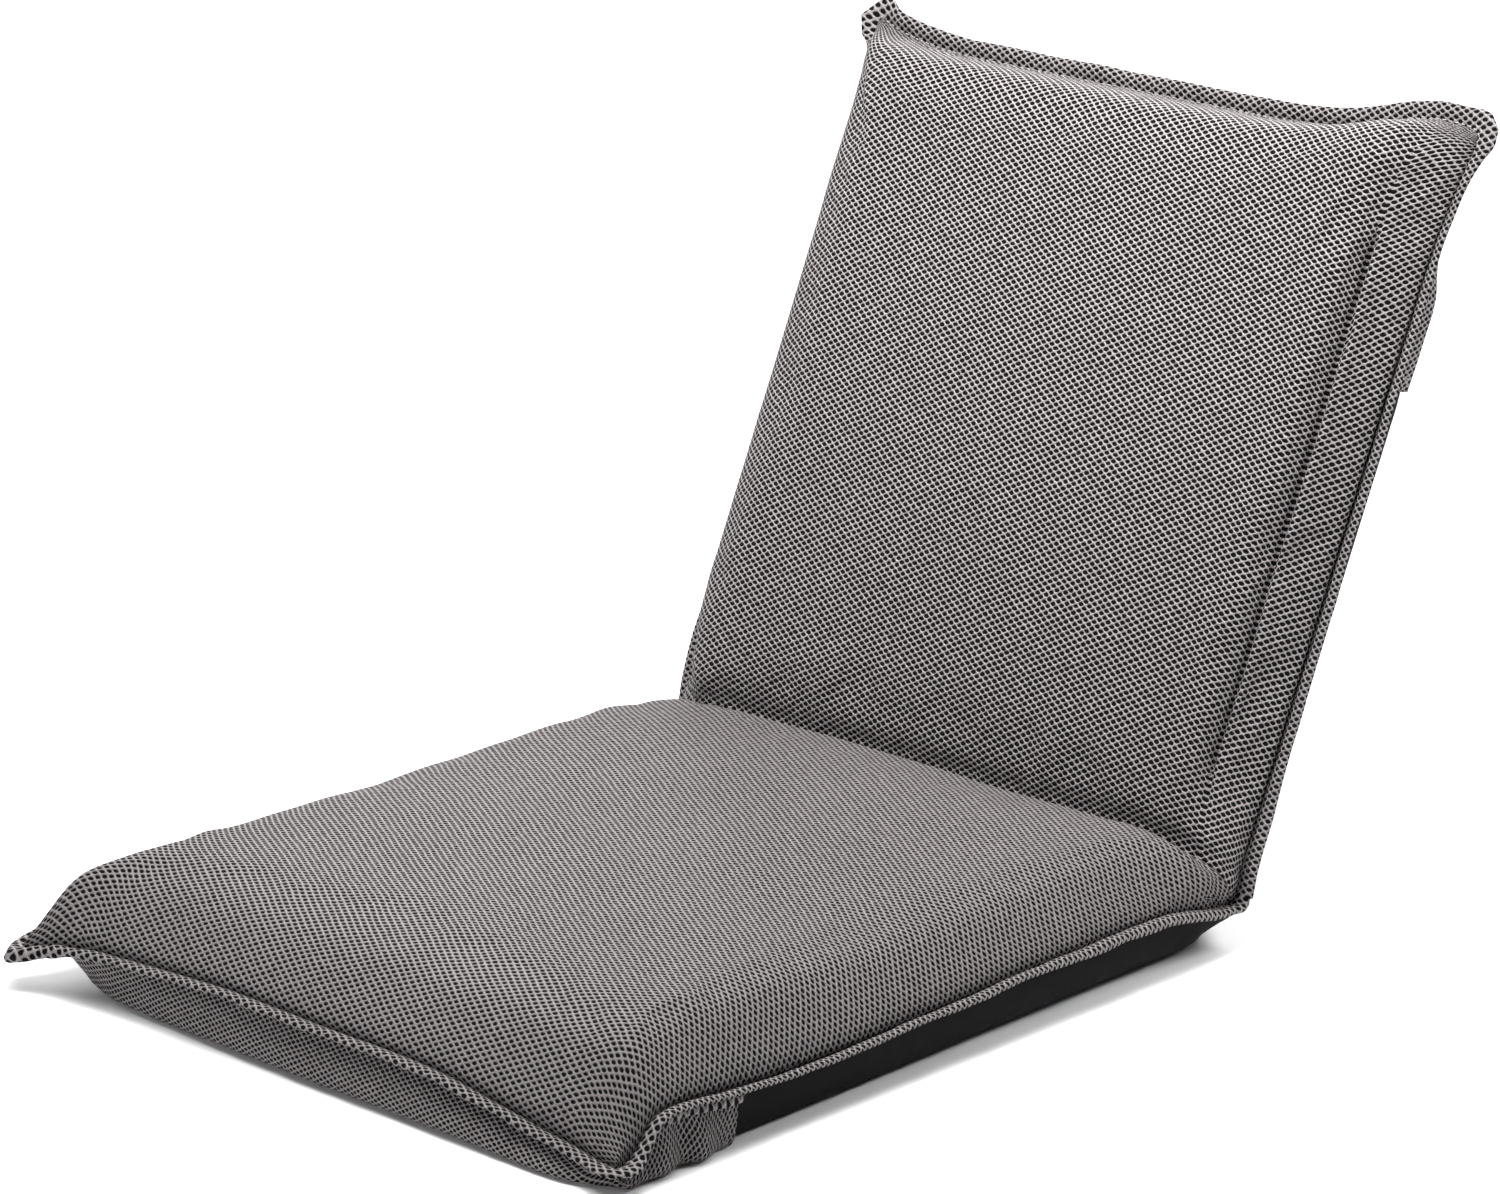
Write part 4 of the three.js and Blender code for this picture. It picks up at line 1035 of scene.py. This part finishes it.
class Maths:
    """Short names for a node tree's arithmetic."""

    def __init__(self, tree):
        self.t = tree

    def n(self, kind, **props):
        node = self.t.nodes.new(kind)
        for k, v in props.items():
            setattr(node, k, v)
        return node

    def put(self, socket, value):
        if hasattr(value, "is_linked") or isinstance(value, bpy.types.NodeSocket):
            self.t.links.new(value, socket)
        else:
            socket.default_value = value

    def m(self, op, a, b=0.0, c=0.0):
        node = self.n("ShaderNodeMath", operation=op)
        for i, v in enumerate((a, b, c)):
            if i < len(node.inputs):
                self.put(node.inputs[i], v)
        return node.outputs[0]

    def v(self, op, a, b=(0, 0, 0)):
        node = self.n("ShaderNodeVectorMath", operation=op)
        self.put(node.inputs[0], a)
        self.put(node.inputs[1], b)
        return node.outputs["Value"] if op in ("LENGTH", "DOT_PRODUCT") else node.outputs[0]

    def ramp(self, value, low, high, to_low=0.0, to_high=1.0, kind="SMOOTHSTEP"):
        node = self.n("ShaderNodeMapRange", interpolation_type=kind)
        self.put(node.inputs[0], value)
        for i, v in zip(range(1, 5), (low, high, to_low, to_high)):
            node.inputs[i].default_value = v
        return node.outputs[0]

    def mix(self, fac, a, b):
        node = self.n("ShaderNodeMix", data_type="RGBA")
        self.put(node.inputs[0], fac)
        self.put(node.inputs[6], a)
        self.put(node.inputs[7], b)
        return node.outputs[2]

    def noise(self, vector, scale, detail=2.0, rough=0.5):
        node = self.n("ShaderNodeTexNoise")
        self.put(node.inputs["Vector"], vector)
        node.inputs["Scale"].default_value = scale
        node.inputs["Detail"].default_value = detail
        node.inputs["Roughness"].default_value = rough
        return node


def air_mesh_material(name, opened, painted_brightness):
    """The grey mesh. opened widens its holes where it is drawn tight; the third argument scales its yarns' tone,
    painting lighter and darker copies for how light falls on each part.
    """
    m, t, bsdf = nodes_of(name)
    k = Maths(t)
    uv = k.n("ShaderNodeUVMap", uv_map="weave").outputs[0]
    # the yarns are never quite straight
    warp = k.noise(uv, 55.0, 2.0).outputs["Color"]
    warp = k.v("SUBTRACT", warp, (0.5, 0.5, 0.5))
    warp = k.v("MULTIPLY", warp, (0.0012, 0.0012, 0))
    fine = k.noise(uv, 420.0, 1.0).outputs["Color"]
    fine = k.v("SUBTRACT", fine, (0.5, 0.5, 0.5))
    fine = k.v("MULTIPLY", fine, (0.0007, 0.0006, 0))
    p = k.v("ADD", k.v("ADD", uv, warp), fine)
    sep = k.n("ShaderNodeSeparateXYZ")
    t.links.new(p, sep.inputs[0])
    u = k.m("DIVIDE", sep.outputs[0], PITCH_ACROSS / 1000)
    v = k.m("DIVIDE", sep.outputs[1], PITCH_ALONG / 1000)

    def off_centre(value, shift, radius):
        """Distance from the nearest hole centre in one direction, in hole radii."""
        f = k.m("FRACT", k.m("ADD", value, shift))
        return k.m("MULTIPLY", k.m("SUBTRACT", f, 0.5), 1.0 / radius)

    def distance(shift):
        a = off_centre(u, shift, opened * HOLE_U / PITCH_ACROSS)
        b = off_centre(v, shift, opened * HOLE_V / PITCH_ALONG)
        return k.m("SQRT", k.m("ADD", k.m("MULTIPLY", a, a), k.m("MULTIPLY", b, b)))

    d1, d2 = distance(0.5), distance(0.0)
    near = k.m("MINIMUM", d1, d2)
    far = k.m("MAXIMUM", d1, d2)
    vary = k.noise(uv, 300.0, 1.0).outputs[0]
    near = k.m("ADD", near, k.m("MULTIPLY", k.m("SUBTRACT", vary, 0.5), 0.5))
    hole = k.ramp(near, 0.96, 1.05, 1.0, 0.0)
    # painted highlight: the yarns are lighter along the ridges between holes, where light catches them
    strand_highlight = k.ramp(k.m("SUBTRACT", far, near), 0.0, 0.75, 1.0, 0.0)
    au = k.m("SINE", k.m("MULTIPLY", u, 2 * math.pi))
    av = k.m("SINE", k.m("MULTIPLY", v, 2 * math.pi))
    # painted highlight: stronger on the yarns of the falling diagonal, the side that faces the light
    falling_highlight = k.ramp(k.m("MULTIPLY", au, av), -0.6, 0.6)
    thread = k.n("ShaderNodeTexWave", wave_type="BANDS", bands_direction="DIAGONAL")
    t.links.new(p, thread.inputs["Vector"])
    thread.inputs["Scale"].default_value = 1300.0
    thread.inputs["Distortion"].default_value = 3.0
    thread.inputs["Detail"].default_value = 1.0
    # one noise for painted glints on the yarns, random dark flecks and bump
    glint_and_fleck = k.noise(uv, 1100.0, 2.0, 0.7).outputs[0]
    blotch = k.noise(uv, 9.0, 3.0).outputs[0]

    def tone(r, g, b):
        return (r * painted_brightness, g * painted_brightness, b * painted_brightness, 1)

    base = k.mix(k.ramp(blotch, 0.3, 0.7), tone(0.1407, 0.1278, 0.1280), tone(0.1568, 0.1423, 0.1431))
    # the yarns' colour with their painted ridge highlight
    light = k.mix(k.m("MULTIPLY", strand_highlight, k.ramp(falling_highlight, 0, 1, 0.42, 1.0, "LINEAR")), base, tone(0.2714, 0.2497, 0.2520))
    # painted highlight: bright glints on the yarns
    light = k.mix(k.ramp(glint_and_fleck, 0.58, 0.74, 0.0, 0.5), light, tone(0.47, 0.445, 0.452))
    light = k.mix(k.ramp(glint_and_fleck, 0.46, 0.30, 0.0, 0.5), light, tone(0.07, 0.064, 0.0645))
    light = k.mix(k.m("MULTIPLY", thread.outputs[0], 0.18), light, tone(0.06, 0.0552, 0.0554))
    # painted shade: the yarns darken towards each hole's edge
    edge = k.ramp(near, 1.0, 1.2, 0.4, 0.0)
    light = k.mix(edge, light, tone(0.03, 0.0271, 0.0272))
    # the holes are real openings, painted near black for the shade inside them
    colour = k.mix(hole, light, (0.0008, 0.0008, 0.0008, 1))
    t.links.new(colour, bsdf.inputs["Base Color"])
    rough = k.m("ADD", k.m("MULTIPLY", hole, 0.4), 0.5)
    t.links.new(rough, bsdf.inputs["Roughness"])
    bsdf.inputs["Specular IOR Level"].default_value = 0.09
    bsdf.inputs["Sheen Weight"].default_value = 0.02
    bsdf.inputs["Sheen Roughness"].default_value = 0.35
    bsdf.inputs["Sheen Tint"].default_value = (0.9, 0.88, 0.86, 1)
    bump = k.n("ShaderNodeBump")
    bump.inputs["Strength"].default_value = 0.9
    bump.inputs["Distance"].default_value = 0.0009
    height = k.ramp(near, 0.7, 1.7, 0.0, 1.0)
    height = k.m("ADD", height, k.m("MULTIPLY", thread.outputs[0], 0.08))
    height = k.m("ADD", height, k.m("MULTIPLY", glint_and_fleck, 0.15))
    t.links.new(height, bump.inputs["Height"])
    t.links.new(bump.outputs[0], bsdf.inputs["Normal"])
    return m


def black_cloth_material():
    m, t, bsdf = nodes_of("black_cloth")
    k = Maths(t)
    uv = k.n("ShaderNodeUVMap", uv_map="weave").outputs[0]
    sep = k.n("ShaderNodeSeparateXYZ")
    t.links.new(uv, sep.inputs[0])
    a = k.m("SINE", k.m("MULTIPLY", sep.outputs[0], 2 * math.pi / 0.0009))
    b = k.m("SINE", k.m("MULTIPLY", sep.outputs[1], 2 * math.pi / 0.0009))
    weave = k.m("MULTIPLY", a, b)
    dust = k.noise(uv, 24.0, 4.0, 0.6).outputs[0]
    colour = k.mix(k.ramp(dust, 0.35, 0.75), (0.003, 0.0029, 0.0029, 1), (0.005, 0.0048, 0.0048, 1))
    colour = k.mix(k.ramp(weave, -1, 1, 0.0, 0.35, "LINEAR"), colour, (0.008, 0.0077, 0.0077, 1))
    t.links.new(colour, bsdf.inputs["Base Color"])
    rough = k.ramp(dust, 0.2, 0.8, 0.72, 0.9)
    t.links.new(rough, bsdf.inputs["Roughness"])
    bsdf.inputs["Specular IOR Level"].default_value = 0.07
    bsdf.inputs["Sheen Weight"].default_value = 0.025
    bump = k.n("ShaderNodeBump")
    bump.inputs["Strength"].default_value = 0.5
    bump.inputs["Distance"].default_value = 0.0002
    crumple = k.noise(uv, 60.0, 3.0).outputs[0]
    t.links.new(k.m("ADD", weave, k.m("MULTIPLY", crumple, 4.0)), bump.inputs["Height"])
    t.links.new(bump.outputs[0], bsdf.inputs["Normal"])
    return m


def thread_material():
    m, t, bsdf = nodes_of("thread")
    k = Maths(t)
    at = k.n("ShaderNodeTexCoord").outputs["Object"]
    n = k.noise(at, 2500.0, 2.0).outputs[0]
    t.links.new(k.mix(n, (0.15, 0.1384, 0.139, 1), (0.30, 0.279, 0.282, 1)), bsdf.inputs["Base Color"])
    t.links.new(k.ramp(n, 0.3, 0.7, 0.4, 0.6), bsdf.inputs["Roughness"])
    bump = k.n("ShaderNodeBump")
    bump.inputs["Strength"].default_value = 0.4
    bump.inputs["Distance"].default_value = 0.0001
    t.links.new(n, bump.inputs["Height"])
    t.links.new(bump.outputs[0], bsdf.inputs["Normal"])
    return m


def metal_material(name, dark, light, metallic, rough_low, rough_high, scratch):
    m, t, bsdf = nodes_of(name)
    k = Maths(t)
    at = k.n("ShaderNodeTexCoord").outputs["Object"]
    wide = k.noise(at, 60.0, 4.0, 0.6).outputs[0]
    fine = k.noise(k.v("MULTIPLY", at, (scratch, 1.0, 1.0)), 1400.0, 2.0).outputs[0]
    t.links.new(k.mix(k.ramp(wide, 0.3, 0.7), dark, light), bsdf.inputs["Base Color"])
    bsdf.inputs["Metallic"].default_value = metallic
    t.links.new(k.ramp(k.m("ADD", k.m("MULTIPLY", fine, 0.6), k.m("MULTIPLY", wide, 0.4)), 0.3, 0.7, rough_low, rough_high), bsdf.inputs["Roughness"])
    bump = k.n("ShaderNodeBump")
    bump.inputs["Strength"].default_value = 0.25
    bump.inputs["Distance"].default_value = 0.0001
    t.links.new(fine, bump.inputs["Height"])
    t.links.new(bump.outputs[0], bsdf.inputs["Normal"])
    return m


def webbing_material():
    m, t, bsdf = nodes_of("webbing")
    k = Maths(t)
    at = k.n("ShaderNodeTexCoord").outputs["Object"]
    sep = k.n("ShaderNodeSeparateXYZ")
    t.links.new(at, sep.inputs[0])
    a = k.m("SINE", k.m("MULTIPLY", sep.outputs[0], 2 * math.pi / 0.0016))
    b = k.m("SINE", k.m("MULTIPLY", sep.outputs[1], 2 * math.pi / 0.0022))
    weave = k.m("MULTIPLY", a, b)
    t.links.new(k.mix(k.ramp(weave, -1, 1), (0.012, 0.012, 0.012, 1), (0.05, 0.05, 0.05, 1)), bsdf.inputs["Base Color"])
    bsdf.inputs["Roughness"].default_value = 0.85
    bump = k.n("ShaderNodeBump")
    bump.inputs["Strength"].default_value = 0.6
    bump.inputs["Distance"].default_value = 0.0003
    t.links.new(weave, bump.inputs["Height"])
    t.links.new(bump.outputs[0], bsdf.inputs["Normal"])
    return m


# three copies of the mesh: the seat's has smaller holes and yarns painted darker, the back's wider holes and yarns
# painted lighter, a painted shade and highlight for how light falls on each
AIR_MESH = air_mesh_material("air_mesh", 1.0, 1.02)
SEAT_MESH = air_mesh_material("air_mesh_slack_painted_darker", 0.91, 0.92)
BACK_MESH = air_mesh_material("air_mesh_taut_painted_lighter", 1.12, 1.24)
BLACK = black_cloth_material()
THREAD = thread_material()
WEBBING = webbing_material()
PAINTED = metal_material("painted_steel", (0.016, 0.017, 0.019, 1), (0.03, 0.031, 0.034, 1), 0.0, 0.35, 0.55, 1.0)
ZINC = metal_material("zinc_steel", (0.44, 0.45, 0.46, 1), (0.62, 0.62, 0.61, 1), 1.0, 0.25, 0.5, 0.1)
SPRING = metal_material("spring_steel", (0.3, 0.31, 0.33, 1), (0.42, 0.43, 0.45, 1), 1.0, 0.2, 0.35, 1.0)

for ob in (seat_top, back_top, front_wrap, rear_hood, flange_loop, gusset_left, gusset_right, wrap_fold):
    ob.data.materials.append({seat_top: SEAT_MESH, back_top: BACK_MESH}.get(ob, AIR_MESH))
under_panel.data.materials.append(BLACK)
for ob in (stitch_upper, stitch_lower, hem_wrap, hem_hood):
    ob.data.materials.append(THREAD)

SLOT_LOOKS = {"webbing": WEBBING, "frame_steel": PAINTED, "hinge_steel": ZINC, "spring_steel": SPRING, "foam": BLACK, "air_mesh": BLACK, "black_cloth": BLACK}
for part in frame["record"]["subparts"]:
    node = frame["nodes"].get(part["node"])
    if node is None:
        continue
    look = SLOT_LOOKS[part["material_slot"]]
    node.data.materials.clear()
    node.data.materials.append(look)


def from_seat(s, h):
    return tuple(seat_at(0.0, s, h))


def from_back(s, h):
    return tuple(back_at(0.0, s, h))


N1 = (-0.266, 0.964)
D1 = 51.0
from_seat(N1[0] * D1, N1[1] * D1)
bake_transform(seat_top)
from_back(N1[0] * D1, N1[1] * D1)
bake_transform(back_top)
NB = (-0.845, 0.534)


def across_hinge(ob, reach):
    from_seat(-NB[0] * reach, -NB[1] * reach)
    from_seat(NB[0] * reach, NB[1] * reach)
    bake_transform(ob)


across_hinge(flange_loop, 9.0)
across_hinge(stitch_upper, 9.0)
across_hinge(stitch_lower, 9.0)
across_hinge(under_panel, 14.4)
across_hinge(gusset_left, 20.0)
across_hinge(gusset_right, 20.0)
for ob in (front_wrap, wrap_fold, hem_wrap):
    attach(ob, "seat")
for ob in (rear_hood, hem_hood):
    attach(ob, "backrest")

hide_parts("seat_cover", "seat_foam", "seat_heel_foam", "crease_cover")
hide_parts("back_cover", "back_foam", "back_heel_foam")
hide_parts("seat_flange", "back_flange", "hinge_flange_left", "hinge_flange_right")
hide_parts("seat_bottom_panel", "heel_panel", "back_rear_panel", "seat_under_pad", "back_rear_pad")
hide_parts("seat_front_wrap")
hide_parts("back_hood")


# ---- stage, light, camera ----
def stage_floor():
    me = bpy.data.meshes.new("floor")
    n = 24
    xs = np.linspace(-8, 8, n)
    v = [(x, y, 0.0) for y in xs for x in xs]
    f = [[j * n + i, j * n + i + 1, (j + 1) * n + i + 1, (j + 1) * n + i] for j in range(n - 1) for i in range(n - 1)]
    me.from_pydata(v, [], f)
    ob = bpy.data.objects.new("floor", me)
    bpy.context.scene.collection.objects.link(ob)
    m, t, bsdf = nodes_of("floor_paint")
    bsdf.inputs["Base Color"].default_value = (0.9, 0.9, 0.9, 1)
    bsdf.inputs["Roughness"].default_value = 0.9
    bsdf.inputs["Specular IOR Level"].default_value = 0.1
    me.materials.append(m)


def area(name, at, to, size, power, colour=(1, 1, 1)):
    light = bpy.data.lights.new(name, "AREA")
    light.shape = "RECTANGLE"
    light.size, light.size_y = size
    light.energy = power
    light.color = colour
    ob = bpy.data.objects.new(name, light)
    bpy.context.scene.collection.objects.link(ob)
    from mathutils import Vector

    ob.location = at
    ob.visible_camera = False
    ob.rotation_euler = (Vector(to) - Vector(at)).to_track_quat("-Z", "Y").to_euler()
    return ob


stage_floor()
area("key", (0.06, -0.05, 1.0), (0, 0.1, 0.15), (0.6, 0.6), 20.3)
area("front", (-0.2, -0.5, 1.5), (0, 0.15, 0.2), (0.8, 0.8), 14.0)
area("left", (-1.0, 0.15, 0.9), (0, 0.15, 0.2), (1.0, 1.0), 8.0)
area("right", (0.62, 0.45, 0.62), (0.2, 0.27, 0.3), (0.35, 0.35), 4.8)
area("behind", (0.2, 1.3, 1.6), (0, 0, 0.1), (1.2, 1.2), 6.0)
area("low", (-0.3, -1.6, 0.35), (0, -0.3, 0.05), (0.6, 0.3), 7.0)
area("rim", (-1.4, 3.0, 1.7), (0, 0.1, 0.2), (2.2, 1.2), 118)
world = bpy.data.worlds.new("studio")
world.use_nodes = True
world.node_tree.nodes["Background"].inputs[0].default_value = (1, 1, 1, 1)
world.node_tree.nodes["Background"].inputs[1].default_value = 0.1
bpy.context.scene.world = world

from mathutils import Vector

cam_data = bpy.data.cameras.new("camera")
cam = bpy.data.objects.new("camera", cam_data)
bpy.context.scene.collection.objects.link(cam)
cam_data.lens = 156.05
cam_data.sensor_width = 36
cam_data.clip_end = 100
cam.location = (2.3099, -2.4463, 1.2364)
target = Vector((-0.1033, 0.0993, 0.1432))
cam.rotation_euler = (target - cam.location).to_track_quat("-Z", "Y").to_euler()
bpy.context.scene.camera = cam
bpy.context.scene.view_settings.view_transform = "Standard"
